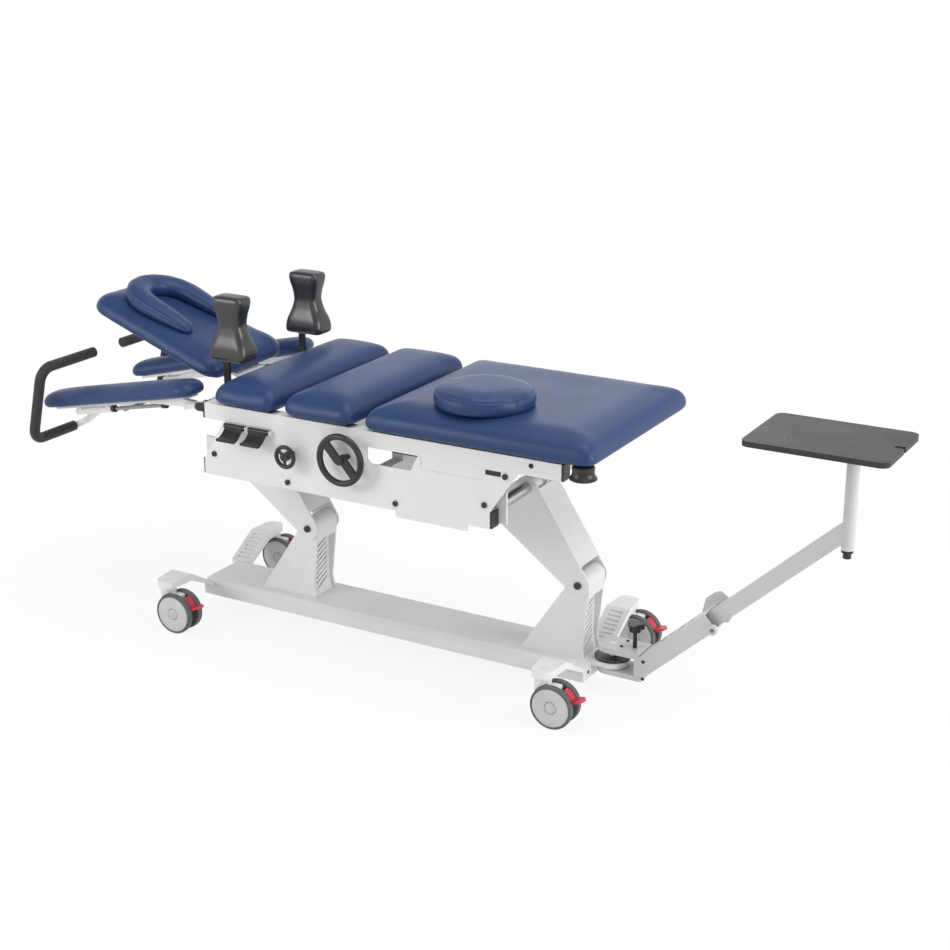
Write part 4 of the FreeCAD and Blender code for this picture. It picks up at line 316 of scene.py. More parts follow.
@dataclass(frozen=True)
class Finish:
    """A surface: its colours, gloss and relief, and how much its edges and upper sides show use.

    Colours are linear. The first colour lies where the mottle is low, the second where it is high.
    """

    WEAR_REACH = 2.0
    WEAR_PATCH = 45.0
    DUST_PATCH = 12.0
    DUST_COLOUR = (0.62, 0.61, 0.58)

    name: str
    slot: str
    shade: Colour
    tint: Colour
    roughness: tuple[float, float]
    texture: Texture
    scale: float
    depth: float
    mottle_scale: float = 9.0
    metallic: float = 0.0
    specular: float = 0.5
    sheen: float = 0.0
    edge: float = 0.0
    wear: float = 0.0
    worn: Colour = (0.5, 0.5, 0.5)
    dust: float = 0.0

    def material(self) -> bpy.types.Material:
        """The finish as a material, made on first use.

        Returns:
            The material with the finish's name.
        """
        made = bpy.data.materials.get(self.name)
        if made:
            return made
        made = bpy.data.materials.new(self.name)
        made.use_nodes = True
        made.diffuse_color = (*self.tint, 1.0)
        sheet = Sheet(made.node_tree)
        shader = made.node_tree.nodes["Principled BSDF"]
        scales = {"Scale": self.scale, "Mottle Scale": self.mottle_scale}
        relief = self.group(sheet, self.texture.value, scales)
        sheet.feed(shader.inputs["Base Color"], self.colour(sheet, relief["Mottle"]))
        sheet.feed(shader.inputs["Roughness"], sheet.ramp(relief["Mottle"], 0.0, 1.0, *self.roughness))
        sheet.feed(shader.inputs["Normal"], self.normal(sheet, relief["Height"]))
        shader.inputs["Metallic"].default_value = self.metallic
        shader.inputs["Specular IOR Level"].default_value = self.specular
        shader.inputs["Sheen Weight"].default_value = self.sheen
        return made

    def colour(self, sheet: Sheet, mottle: Socket) -> Socket:
        """The base colour, with worn edges and dust where the finish has them.

        Args:
            sheet: the material's sheet.
            mottle: the broad mottle of the surface.

        Returns:
            The colour.
        """
        colour = sheet.blend(mottle, self.shade, self.tint)
        if self.wear:
            inputs = {"Radius": self.WEAR_REACH * self.edge, "Patch Scale": self.WEAR_PATCH}
            mask = self.group(sheet, "edge_wear", inputs)["Mask"]
            colour = sheet.blend(sheet.ramp(mask, 0.0, 1.0, 0.0, self.wear), colour, self.worn)
        if self.dust:
            mask = self.group(sheet, "settled_dust", {"Patch Scale": self.DUST_PATCH})["Mask"]
            colour = sheet.blend(sheet.ramp(mask, 0.0, 1.0, 0.0, self.dust), colour, self.DUST_COLOUR)
        return colour

    def normal(self, sheet: Sheet, height: Socket) -> Socket:
        """The normal: the relief, over rounded edges where the finish has them.

        Args:
            sheet: the material's sheet.
            height: the fine height of the surface.

        Returns:
            The normal.
        """
        bump = sheet.add("Bump", {"Distance": self.depth, "Height": height})
        if self.edge:
            rounded = self.group(sheet, "rounded_edge", {"Radius": self.edge})
            sheet.feed(bump.inputs["Normal"], rounded["Normal"])
        return bump.outputs[0]

    @staticmethod
    def group(sheet: Sheet, name: str, inputs: dict[str, float]) -> bpy.types.bpy_prop_collection:
        """Places a shared group in a material.

        Args:
            sheet: the material's sheet.
            name: the group's name.
            inputs: the values of its inputs.

        Returns:
            The group's outputs.
        """
        node = sheet.add("Group", node_tree=bpy.data.node_groups[name])
        for label, value in inputs.items():
            node.inputs[label].default_value = value
        return node.outputs

    def dress(self, *nodes: str) -> None:
        """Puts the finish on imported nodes, in place of what they came with.

        Args:
            *nodes: the nodes' names.
        """
        for name in nodes:
            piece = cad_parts[name]
            piece.data.materials.clear()
            piece.data.materials.append(self.material())
            LOG.info("%s: %s", name, self.name)


WHITE_PAINT = Finish(
    "white_powder_coat", "white_paint", (0.785, 0.79, 0.795), (0.82, 0.825, 0.83), (0.34, 0.44),
    Texture.PEEL, scale=700.0, depth=0.00006, mottle_scale=6.0, edge=0.0011, wear=0.25,
    worn=(0.62, 0.63, 0.64), dust=0.05,
)
# Painted shade: the same white powder coat as above, with darker colours and a darker worn edge so the
# traction arm's parts look shaded. The real arm wears the white paint.
SHADED_ARM_PAINT = replace(
    WHITE_PAINT, name="pale_grey_powder_coat", shade=(0.585, 0.59, 0.595), tint=(0.625, 0.63, 0.635),
    worn=(0.52, 0.53, 0.54),
)
NAVY_VINYL = Finish(
    "grained_navy_vinyl", "navy_vinyl", (0.0175, 0.044, 0.132), (0.0200, 0.050, 0.148), (0.36, 0.43),
    Texture.GRAIN, scale=620.0, depth=0.00006, mottle_scale=7.0, specular=0.33, dust=0.003,
)
SEAM_THREAD = Finish(
    "seam_thread", "navy_vinyl", (0.022, 0.040, 0.125), (0.028, 0.050, 0.150), (0.55, 0.65),
    Texture.MOULD, scale=1800.0, depth=0.0001,
)
STEEL = Finish(
    "zinc_steel", "steel", (0.52, 0.53, 0.54), (0.62, 0.63, 0.64), (0.26, 0.36),
    Texture.BRUSH, scale=900.0, depth=0.00004, metallic=1.0, edge=0.0006, wear=0.3,
    worn=(0.75, 0.76, 0.78),
)
GROUND_ROD = Finish(
    "ground_rod", "chrome_rod", (0.24, 0.245, 0.25), (0.32, 0.325, 0.33), (0.18, 0.28),
    Texture.BRUSH, scale=1200.0, depth=0.00002, metallic=1.0, edge=0.0005,
)
BLACK_PLASTIC = Finish(
    "black_moulding", "black_plastic", (0.012, 0.012, 0.013), (0.018, 0.018, 0.019), (0.30, 0.40),
    Texture.MOULD, scale=1500.0, depth=0.00005, mottle_scale=11.0, edge=0.0012, wear=0.12,
    worn=(0.06, 0.06, 0.06), dust=0.012,
)
POST_PLASTIC = Finish(
    "post_moulding", "black_plastic", (0.018, 0.018, 0.019), (0.024, 0.024, 0.025), (0.24, 0.31),
    Texture.MOULD, scale=1300.0, depth=0.00004, mottle_scale=9.0, specular=0.7, edge=0.005, wear=0.1,
    worn=(0.07, 0.07, 0.07), dust=0.012,
)
BLACK_FOAM = Finish(
    "closed_cell_foam", "black_foam", (0.016, 0.016, 0.017), (0.024, 0.024, 0.025), (0.62, 0.74),
    Texture.PORES, scale=900.0, depth=0.0003, sheen=0.1, dust=0.02,
)
DARK_BOARD = Finish(
    "dark_board", "board", (0.035, 0.035, 0.038), (0.05, 0.05, 0.053), (0.5, 0.62),
    Texture.MOULD, scale=500.0, depth=0.0001, edge=0.0008,
)
GREY_TRAY = Finish(
    "tray_laminate", "grey_tray", (0.030, 0.031, 0.032), (0.037, 0.038, 0.039), (0.40, 0.50),
    Texture.MOULD, scale=1100.0, depth=0.0001, mottle_scale=7.0, specular=0.35, edge=0.0012, wear=0.2,
    worn=(0.10, 0.10, 0.10), dust=0.02,
)
GREY_TYRE = Finish(
    "grey_tyre", "grey_wheel", (0.085, 0.087, 0.089), (0.12, 0.122, 0.124), (0.5, 0.62),
    Texture.MOULD, scale=700.0, depth=0.00012, mottle_scale=25.0, dust=0.08,
)
PALE_DISC = Finish(
    "pale_wheel_disc", "grey_wheel", (0.56, 0.565, 0.57), (0.61, 0.615, 0.62), (0.34, 0.42),
    Texture.MOULD, scale=900.0, depth=0.00006, mottle_scale=20.0, dust=0.03,
)
HUB_CAP = Finish(
    "hub_cap", "grey_wheel", (0.50, 0.505, 0.51), (0.60, 0.605, 0.61), (0.20, 0.28),
    Texture.MOULD, scale=900.0, depth=0.00003, mottle_scale=30.0,
)
GREY_HOOD = Finish(
    "pale_hood_moulding", "grey_hood", (0.74, 0.745, 0.75), (0.79, 0.795, 0.80), (0.36, 0.44),
    Texture.MOULD, scale=900.0, depth=0.00006, mottle_scale=16.0, edge=0.0012, dust=0.03,
)
RED_PEDAL = Finish(
    "red_pedal_moulding", "red_pedal", (0.52, 0.028, 0.060), (0.60, 0.038, 0.080), (0.32, 0.40),
    Texture.MOULD, scale=1100.0, depth=0.00006, mottle_scale=20.0, edge=0.0012, wear=0.25,
    worn=(0.62, 0.12, 0.12),
)


def new_piece(name: str, mesh: bpy.types.Mesh, *finishes: Finish) -> bpy.types.Object:
    """Links a mesh into the scene as a named piece.

    Args:
        name: the piece's name.
        mesh: its mesh, in the row frame.
        *finishes: its finishes, in the order of the mesh's material numbers.

    Returns:
        The new object.
    """
    mesh.name = name
    piece = bpy.data.objects.new(name, mesh)
    bpy.context.scene.collection.objects.link(piece)
    for finish in finishes:
        mesh.materials.append(finish.material())
    return piece


def round_angles(count: int) -> list[float]:
    """Angles evenly round a circle."""
    return [math.tau * step / count for step in range(count)]


def add_ring(shape: bmesh.types.BMesh, points: Sequence[Vector]) -> Loop:
    """Adds one loop of vertices to a mesh."""
    return [shape.verts.new(point) for point in points]


def skin(shape: bmesh.types.BMesh, rings: Sequence[Loop], material: int = 0) -> None:
    """Joins loops of vertices with quads.

    Args:
        shape: the mesh under construction.
        rings: loops of equally many vertices.
        material: the material number of the new faces.
    """
    for low, high in zip(rings, rings[1:]):
        count = len(low)
        for index in range(count):
            after = (index + 1) % count
            face = shape.faces.new((low[index], low[after], high[after], high[index]))
            face.material_index = material
            face.smooth = True


def close_ends(shape: bmesh.types.BMesh, rings: Sequence[Loop]) -> None:
    """Fills the first and the last loop with a face each."""
    shape.faces.new(rings[0])
    shape.faces.new(rings[-1])


def finish_mesh(shape: bmesh.types.BMesh, name: str) -> bpy.types.Mesh:
    """Turns a bmesh into a mesh with its faces outward.

    Args:
        shape: the mesh under construction, which is used up.
        name: the name of the new mesh.

    Returns:
        The new mesh.
    """
    bmesh.ops.recalc_face_normals(shape, faces=shape.faces)
    mesh = bpy.data.meshes.new(name)
    shape.to_mesh(mesh)
    shape.free()
    return mesh


def vertex_rows(mesh: bpy.types.Mesh, attribute: str) -> np.ndarray:
    """A vector of every vertex of a mesh.

    Args:
        mesh: the mesh.
        attribute: co for the vertices' places, normal for their normals.

    Returns:
        One row for each vertex.
    """
    flat = np.zeros(len(mesh.vertices) * 3)
    mesh.vertices.foreach_get(attribute, flat)
    return flat.reshape(-1, 3)


@dataclass
class Caster:
    """A twin-wheel caster: two tyred discs with hub caps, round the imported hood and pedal.

    An outline's points are steps or shares of a radius, and steps outward from the wheel's outer face.
    """

    name: str
    segments: int = 72
    half_gap: float = 0.014
    tread_corner: float = 0.0042
    corner_angles: Sequence[float] = (0, 22.5, 45, 67.5, 90)
    tread_crown: float = 0.0002
    tyre_depth: float = 0.010
    tyre_lip: Outline = ((0.0008, -0.0002), (0.0, -0.0014), (-0.010, -0.0030))
    disc_share: float = 0.885
    disc_edge: Outline = ((-0.0002, -0.0026), (-0.0005, -0.0008), (-0.0020, -0.0003))
    disc_face_shares: Outline = ((0.72, 0.0001), (0.5, -0.0004))
    disc_well: Outline = ((0.002, -0.0010), (0.0, -0.0014), (-0.0004, -0.0034))
    cap_gap: float = 0.0014
    cap_radius: float = 0.0165
    cap_edge: Outline = ((0.0, -0.0034), (-0.0002, -0.0010), (-0.0013, -0.0001))
    cap_dome_shares: Outline = ((0.72, 0.0007), (0.38, 0.0012), (0.003, 0.0014))

    def build(self) -> None:
        """Turns both wheels round the axle's line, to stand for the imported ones, and dresses the rest."""
        node = f"{self.name}_caster_wheels"
        low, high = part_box(node)
        centre, radius = (low + high) / 2, (high.x - low.x) / 2
        outlines = self.outlines(radius, (high.y - low.y) / 2)
        shape = bmesh.new()
        for side in Side:
            for material, outline in enumerate(outlines):
                rings = [self.ring(shape, centre, reach, along * side.value) for reach, along in outline]
                skin(shape, rings, material)
                if material == 0:
                    skin(shape, [rings[-1], rings[0]], material)
        pair = new_piece(f"{self.name}_wheel_pair", finish_mesh(shape, node), GREY_TYRE, PALE_DISC, HUB_CAP)
        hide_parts(node)
        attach(pair, f"{self.name}_wheels")
        LOG.info("%s: two tyres, discs and caps", pair.name)
        GREY_HOOD.dress(f"{self.name}_caster_hood")
        RED_PEDAL.dress(f"{self.name}_caster_pedal")

    def ring(self, shape: bmesh.types.BMesh, centre: Vector, radius: float, along: float) -> Loop:
        """One loop of a wheel, square to the axle.

        Args:
            shape: the mesh under construction.
            centre: the caster's middle, on the axle.
            radius: the loop's radius.
            along: its distance from the middle plane, along +Y.

        Returns:
            The loop.
        """
        return add_ring(shape, [
            centre + Vector((radius * math.cos(turn), along, radius * math.sin(turn)))
            for turn in round_angles(self.segments)
        ])

    def outlines(self, radius: float, outer: float) -> tuple[list, list, list]:
        """The outlines of tyre, disc and cap as (radius, distance from the middle plane).

        Args:
            radius: the wheel's radius.
            outer: the distance of its outer face from the caster's middle plane.

        Returns:
            Three lists of points.
        """
        rim, well = radius * self.disc_share, self.cap_radius + self.cap_gap
        corner, inner = self.tread_corner, self.half_gap
        bend = radius - corner
        arc = [math.radians(angle) for angle in self.corner_angles]
        tyre = [(rim - self.tyre_depth, inner)]
        tyre += [(bend + corner * math.sin(a), inner + corner - corner * math.cos(a)) for a in arc]
        tyre += [(radius + self.tread_crown, (inner + outer) / 2)]
        tyre += [(bend + corner * math.cos(a), outer - corner + corner * math.sin(a)) for a in arc]
        tyre += [(rim + step, outer + rise) for step, rise in self.tyre_lip]
        disc = [(rim + step, outer + rise) for step, rise in self.disc_edge]
        disc += [(rim * share, outer + rise) for share, rise in self.disc_face_shares]
        disc += [(well + step, outer + rise) for step, rise in self.disc_well]
        cap = [(self.cap_radius + step, outer + rise) for step, rise in self.cap_edge]
        cap += [(self.cap_radius * share, outer + rise) for share, rise in self.cap_dome_shares]
        return tyre, disc, cap


@dataclass
class Seam:
    """A sewn line on a cover: where it meets the skin, and how far the thread pulls the skin in."""

    name: str
    rays: Sequence[Ray]
    furrow: float = 0.0014
    spread: float = 0.0032
    pucker: float = 0.0007
    pucker_spread: float = 2.2
    pucker_power: int = 3
    pitch: float = 0.0095
    thread: float = 0.0007
    thread_sides: int = 8
    thread_waist: float = 0.45
    stitch: float = 0.0052

    def trace(self, cover: bpy.types.Object) -> tuple[list[Vector], list[Vector]]:
        """Finds the line on a cover's skin.

        Args:
            cover: the piece that is sewn.

        Returns:
            The line's points, and the skin's normals there.
        """
        tree = BVHTree.FromObject(cover, bpy.context.evaluated_depsgraph_get())
        hits = [tree.ray_cast(start, ahead)[:2] for start, ahead in self.rays]
        found = [hit for hit in hits if hit[0] is not None]
        return [hit[0] for hit in found], [hit[1] for hit in found]

    @staticmethod
    def runs(line: Sequence[Vector]) -> np.ndarray:
        """How far along the line each of its points lies."""
        return np.cumsum([0.0] + [(after - before).length for before, after in zip(line, line[1:])])

    def pull(self, spots: np.ndarray, line: Sequence[Vector]) -> np.ndarray:
        """How far each vertex of the cover sinks: the furrow and the small creases across it.

        Args:
            spots: the cover's vertices.
            line: the seam's points.

        Returns:
            One depth for each vertex.
        """
        tree = KDTree(len(line))
        for index, point in enumerate(line):
            tree.insert(point, index)
        tree.balance()
        near = [tree.find(spot)[1:] for spot in spots]
        away = np.array([distance for _, distance in near])
        along = self.runs(line)[[index for index, _ in near]]
        crease = np.maximum(0.0, np.cos(math.tau * along / self.pitch)) ** self.pucker_power
        furrow = self.furrow * np.exp(-((away / self.spread) ** 2))
        return furrow + self.pucker * crease * np.exp(-away / (self.pucker_spread * self.spread))

    def lay_thread(self, line: Sequence[Vector], normals: Sequence[Vector]) -> bpy.types.Object:
        """Makes the thread, thick at each stitch and thin where it dips into the skin.

        Args:
            line: the seam's points.
            normals: the skin's normals there.

        Returns:
            The thread as a piece.
        """
        shape = bmesh.new()
        rings = []
        for index, (point, normal, run) in enumerate(zip(line, normals, self.runs(line))):
            before, after = line[max(index - 1, 0)], line[min(index + 1, len(line) - 1)]
            side = (after - before).normalized().cross(normal).normalized()
            swell = math.sqrt(abs(math.sin(math.pi * run / self.stitch)))
            wide = self.thread * (self.thread_waist + (1.0 - self.thread_waist) * swell)
            middle = point - normal * self.furrow
            rings.append(add_ring(shape, [
                middle + (side * math.cos(turn) + normal * math.sin(turn)) * wide
                for turn in round_angles(self.thread_sides)
            ]))
        skin(shape, rings)
        close_ends(shape, rings)
        return new_piece(self.name, finish_mesh(shape, self.name), SEAM_THREAD)


@dataclass
class Cushion:
    """A foam pad under wrapped vinyl, swelled by pressure from the solid that it stands for."""

    WELD = 1e-5
    SEAT_FACING = -0.6
    NO_TRAVEL = 1e-9

    node: str
    body: str
    up: Vector = field(default_factory=lambda: Vector((0, 0, 1)))
    voxel: float = 0.007
    pressure: float = 4.0
    cap: float = 0.006
    inset: float = 0.0035
    fill: float = 0.85
    evening: int = 30
    levels: int = 1
    finish: Finish = NAVY_VINYL
    seams: Sequence[Seam] = ()
    piece: bpy.types.Object = field(init=False)
    base: np.ndarray = field(init=False)

    def start(self) -> None:
        """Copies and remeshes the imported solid, draws it in and marks where it sits on its board."""
        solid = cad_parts[self.node]
        self.piece = new_piece(f"{self.node}_cover", solid.data.copy())
        remesh = {"mode": "VOXEL", "voxel_size": self.voxel}
        self.settle([("WELD", {"merge_threshold": self.WELD}), ("REMESH", remesh)])
        normals = vertex_rows(self.piece.data, "normal")
        seat = normals @ np.array(self.up) < self.SEAT_FACING
        shrink = np.where(seat, 0.0, self.inset)
        self.set_spots(vertex_rows(self.piece.data, "co") - normals * shrink[:, None])
        group = self.piece.vertex_groups.new(name="seat")
        group.add([int(index) for index in np.flatnonzero(seat)], 1.0, "REPLACE")
        self.shade_smooth()
        self.base = vertex_rows(self.piece.data, "co")

    def settle(self, steps: Sequence[tuple[str, dict]]) -> None:
        """Adds modifiers and keeps what they make of the mesh.

        Args:
            steps: each modifier's kind and settings, in order.
        """
        for kind, settings in steps:
            modifier = self.piece.modifiers.new(kind.lower(), kind)
            for name, value in settings.items():
                setattr(modifier, name, value)
        graph = bpy.context.evaluated_depsgraph_get()
        mesh = bpy.data.meshes.new_from_object(self.piece.evaluated_get(graph))
        self.piece.modifiers.clear()
        self.piece.data = mesh
        mesh.materials.clear()
        mesh.materials.append(self.finish.material())

    def set_spots(self, spots: np.ndarray) -> None:
        """Moves the cover's vertices."""
        self.piece.data.vertices.foreach_set("co", spots.ravel())
        self.piece.data.update()

    def shade_smooth(self) -> None:
        """Shades every face of the cover smooth."""
        faces = self.piece.data.polygons
        faces.foreach_set("use_smooth", [True] * len(faces))

    def inflate(self) -> None:
        """Adds the cloth, held where the pad sits on its board."""
        cloth = self.piece.modifiers.new("swell", "CLOTH")
        settings = cloth.settings
        settings.quality = 4
        settings.mass = 0.25
        settings.use_pressure = True
        settings.uniform_pressure_force = self.pressure
        settings.tension_stiffness = 18.0
        settings.compression_stiffness = 18.0
        settings.shear_stiffness = 8.0
        settings.bending_stiffness = 2.0
        settings.vertex_group_mass = "seat"
        settings.effector_weights.gravity = 0.0
        cloth.collision_settings.use_collision = False
        cloth.point_cache.frame_end = Upholstery.FRAMES

    def keep_swell(self) -> None:
        """Takes the swelled shape, with each point's travel capped."""
        graph = bpy.context.evaluated_depsgraph_get()
        swelled = self.piece.evaluated_get(graph)
        travel = vertex_rows(swelled.to_mesh(), "co") - self.base
        swelled.to_mesh_clear()
        length = np.linalg.norm(travel, axis=1)
        held = self.cap * np.tanh(length / self.cap)
        travel *= (held / np.maximum(length, self.NO_TRAVEL))[:, None]
        self.piece.modifiers.clear()
        self.set_spots(self.base + travel)

    def smooth_out(self) -> None:
        even = {"factor": 0.5, "iterations": self.evening, "use_only_smooth": True}
        self.settle([("CORRECTIVE_SMOOTH", even)])
        self.settle([("SUBSURF", {"levels": self.levels, "render_levels": self.levels})])
        self.shade_smooth()
        for seam in self.seams:
            self.sew(seam)
        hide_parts(self.node)
        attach(self.piece, self.body)

    def sew(self, seam: Seam) -> None:
        """Draws the skin in along a seam and lays the thread in the furrow.

        Args:
            seam: the seam.
        """
        line, normals = seam.trace(self.piece)
        spots, outward = vertex_rows(self.piece.data, "co"), vertex_rows(self.piece.data, "normal")
        self.set_spots(spots - outward * seam.pull(spots, line)[:, None])
        thread = seam.lay_thread(line, normals)
        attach(thread, self.body)
        LOG.info("%s: %d points", seam.name, len(line))


class Upholstery:
    """All the padded pieces, swelled together in one run."""

    FRAMES = 20

    def __init__(self, cushions: Sequence[Cushion]) -> None:
        """Keeps the cushions in the order that they are made in."""
        self.cushions = cushions

    def build(self) -> None:
        """Starts every cushion, runs the cloth once and keeps what it gives."""
        for cushion in self.cushions:
            cushion.start()
        self.swell()
        for cushion in self.cushions:
            cushion.smooth_out()
            LOG.info("%s: %d vertices", cushion.piece.name, len(cushion.piece.data.vertices))

    def swell(self) -> None:
        """Steps the cloth from its first frame to its last."""
        scene = bpy.context.scene
        for cushion in self.cushions:
            cushion.inflate()
        for number in range(1, self.FRAMES + 1):
            scene.frame_set(number)
        for cushion in self.cushions:
            cushion.keep_swell()
        scene.frame_set(1)


@dataclass
class ButtonBolt:
    """A black button-head bolt with a hexagon socket, standing on a painted face.

    The head's outline is in shares of its radius and of its height.
    """

    HEAD_SHARES = ((1.0, -0.1), (0.98, 0.35), (0.86, 0.72), (0.66, 0.95), (0.54, 1.0))
    SOCKET_HEIGHTS = (0.99, 0.35)
    SOCKET_TIP = (0.01, 0.30)

    place: Point
    axis: Point
    radius: float = 0.0052
    rise: float = 0.0028
    socket: float = 0.46
    segments: int = 24

    def add(self, shape: bmesh.types.BMesh) -> None:
        """Turns the head and sinks its socket.

        Args:
            shape: the mesh under construction.
        """
        hexagon = [self.hexagon(angle) for angle in round_angles(self.segments)]
        loops = [([share] * self.segments, height) for share, height in self.HEAD_SHARES]
        loops += [(hexagon, height) for height in self.SOCKET_HEIGHTS]
        tip, depth = self.SOCKET_TIP
        loops.append(([tip] * self.segments, depth))
        turn = Vector((0.0, 0.0, 1.0)).rotation_difference(Vector(self.axis))
        rings = [self.ring(shape, turn, shares, height) for shares, height in loops]
        skin(shape, rings)
        close_ends(shape, rings)

    def hexagon(self, angle: float) -> float:
        """The socket's reach at an angle, as a share of the head's radius."""
        sixth = math.pi / 3
        return self.socket * math.cos(sixth / 2) / math.cos(angle % sixth - sixth / 2)

    def ring(self, shape: bmesh.types.BMesh, turn: Quaternion, shares: Sequence[float],
             height: float) -> Loop:
        """One loop of the head.

        Args:
            shape: the mesh under construction.
            turn: from upright to the bolt's axis.
            shares: the reach at each angle, as a share of the head's radius.
            height: the loop's place along the axis, as a share of the head's height.

        Returns:
            The loop.
        """
        reaches = [self.radius * share for share in shares]
        spots = [
            Vector((reach * math.cos(angle), reach * math.sin(angle), self.rise * height))
            for reach, angle in zip(reaches, round_angles(self.segments))
        ]
        return add_ring(shape, [Vector(self.place) + turn @ spot for spot in spots])


@dataclass
class ArmrestStrut:
    """The strut under an armrest: a ground rod with a black collar and end knob."""

    side: Side
    rod_reach: float = 0.0075

    def build(self) -> None:
        """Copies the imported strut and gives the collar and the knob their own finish."""
        node = f"{self.side.label}_armrest_strut"
        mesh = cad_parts[node].data.copy()
        mesh.materials.clear()
        piece = new_piece(f"{node}_rod", mesh, GROUND_ROD, BLACK_PLASTIC)
        spots = vertex_rows(mesh, "co")
        spots -= spots.mean(axis=0)
        along = np.linalg.svd(spots, full_matrices=False)[2][0]
        away = np.linalg.norm(spots - np.outer(spots @ along, along), axis=1)
        for face in mesh.polygons:
            face.material_index = int(away[list(face.vertices)].max() > self.rod_reach)
        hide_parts(node)
        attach(piece, f"{self.side.label}_armrest")
        LOG.info("%s: rod, collar and knob", piece.name)


@dataclass
class Fittings:
    """Small fittings: bolts on the traction arm, the beam and the rails, and the graduated disc's marks."""

    arm_bolts: Sequence[ButtonBolt] = (
        ButtonBolt((0.5727, -0.0120, 0.146), (0, 0, 1)), ButtonBolt((0.5732, 0.0301, 0.146), (0, 0, 1)),
        ButtonBolt((0.6546, -0.0470, 0.1311), (0, -1, 0)), ButtonBolt((0.6546, -0.0470, 0.0790), (0, -1, 0)),
    )
    beam_bolts: Sequence[ButtonBolt] = (ButtonBolt((0.495, -0.0628, 0.070), (1, 0, 0)),)
    rail_bolts: Sequence[ButtonBolt] = tuple(
        ButtonBolt((0.4308, 0.300 * side.value, 0.7396), (0, side.value, 0), radius=0.007, rise=0.0035)
        for side in Side
    )
    marks: int = 48
    mark_sides: int = 10
    mark_radius: float = 0.0011
    mark_rise: float = 0.00015
    mark_shares: Outline = ((1.0, -1.0), (1.0, 0.7), (0.8, 1.0))
    mark_inset: float = 0.0055

    def build(self) -> None:
        """Makes the bolts of each body and the disc's marks."""
        self.bolts("swing_bolts", "traction_arm", self.arm_bolts)
        self.bolts("beam_end_bolt", "base", self.beam_bolts)
        self.bolts("rail_bolts", "upper_frame", self.rail_bolts)
        self.disc_marks()

    @staticmethod
    def bolts(name: str, body: str, bolts: Sequence[ButtonBolt]) -> None:
        """Makes one piece of the bolts that move together.

        Args:
            name: the piece's name.
            body: the body that it rides on.
            bolts: the bolts.
        """
        shape = bmesh.new()
        for bolt in bolts:
            bolt.add(shape)
        piece = new_piece(name, finish_mesh(shape, name), BLACK_PLASTIC)
        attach(piece, body)
        LOG.info("%s: %d bolts", name, len(bolts))

    def disc_marks(self) -> None:
        """A ring of pale dots near the rim of the graduated disc."""
        low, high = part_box("index_disc")
        middle, reach = (low + high) / 2, (high.x - low.x) / 2 - self.mark_inset
        shape = bmesh.new()
        for turn in round_angles(self.marks):
            spot = Vector((middle.x + reach * math.cos(turn), middle.y + reach * math.sin(turn), high.z))
            rings = []
            for share, rise in self.mark_shares:
                wide = self.mark_radius * share
                rings.append(add_ring(shape, [
                    spot + Vector((wide * math.cos(angle), wide * math.sin(angle), self.mark_rise * rise))
                    for angle in round_angles(self.mark_sides)
                ]))
            skin(shape, rings)
            close_ends(shape, rings)
        piece = new_piece("index_disc_marks", finish_mesh(shape, "index_disc_marks"), PALE_DISC)
        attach(piece, "base")
        LOG.info("%s: %d marks", piece.name, self.marks)


@dataclass
class Structure:
    """The painted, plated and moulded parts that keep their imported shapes."""

    white: Sequence[str] = (
        "base_beam", "columns", "caster_arms", "traction_base_bracket", "head_lift_arm", "foot_lift_arm",
        "side_rails", "side_panels", "cross_frame", "head_tilt_frame", "near_armrest_frame",
        "far_armrest_frame",
    )
    arms: Sequence[str] = ("swing_bracket", "outer_arm", "inner_arm")
    black: Sequence[str] = (
        "column_pivot_bolts", "panel_bolts", "rail_end_caps", "index_disc", "clamp_knob", "release_handle",
        "release_paddle_1", "release_paddle_2", "small_handwheel", "large_handwheel", "lift_actuator",
        "near_post_stem", "far_post_stem", "lock_plunger",
    )
    boards: Sequence[str] = ("section_boards", "long_carriage")
    steel: Sequence[str] = ("frame_pivot_shafts", "lift_actuator_yoke")
    grips: Sequence[str] = ("near_hand_grip", "far_hand_grip")

    def dress(self) -> None:
        """Gives every kept node its finish."""
        WHITE_PAINT.dress(*self.white)
        # The traction arm's parts take the white paint with painted shade: a darker copy of the same coat.
        SHADED_ARM_PAINT.dress(*self.arms)
        BLACK_PLASTIC.dress(*self.black)
        DARK_BOARD.dress(*self.boards)
        STEEL.dress(*self.steel)
        BLACK_FOAM.dress(*self.grips)
        GREY_TRAY.dress("tray")


@dataclass(frozen=True)
class SoftBox:
    """A square area lamp: where it hangs, the point that it faces, the length of its sides and its power."""

    name: str
    place: Point
    aim: Point
    size: float
    watts: float

    def hang(self) -> None:
        """Adds the lamp to the scene."""
        data = bpy.data.lights.new(self.name, "AREA")
        data.shape = "SQUARE"
        data.size = self.size
        data.energy = self.watts
        lamp = bpy.data.objects.new(self.name, data)
        lamp.location = self.place
        lamp.rotation_euler = (Vector(self.aim) - Vector(self.place)).to_track_quat("-Z", "Y").to_euler()
        bpy.context.scene.collection.objects.link(lamp)


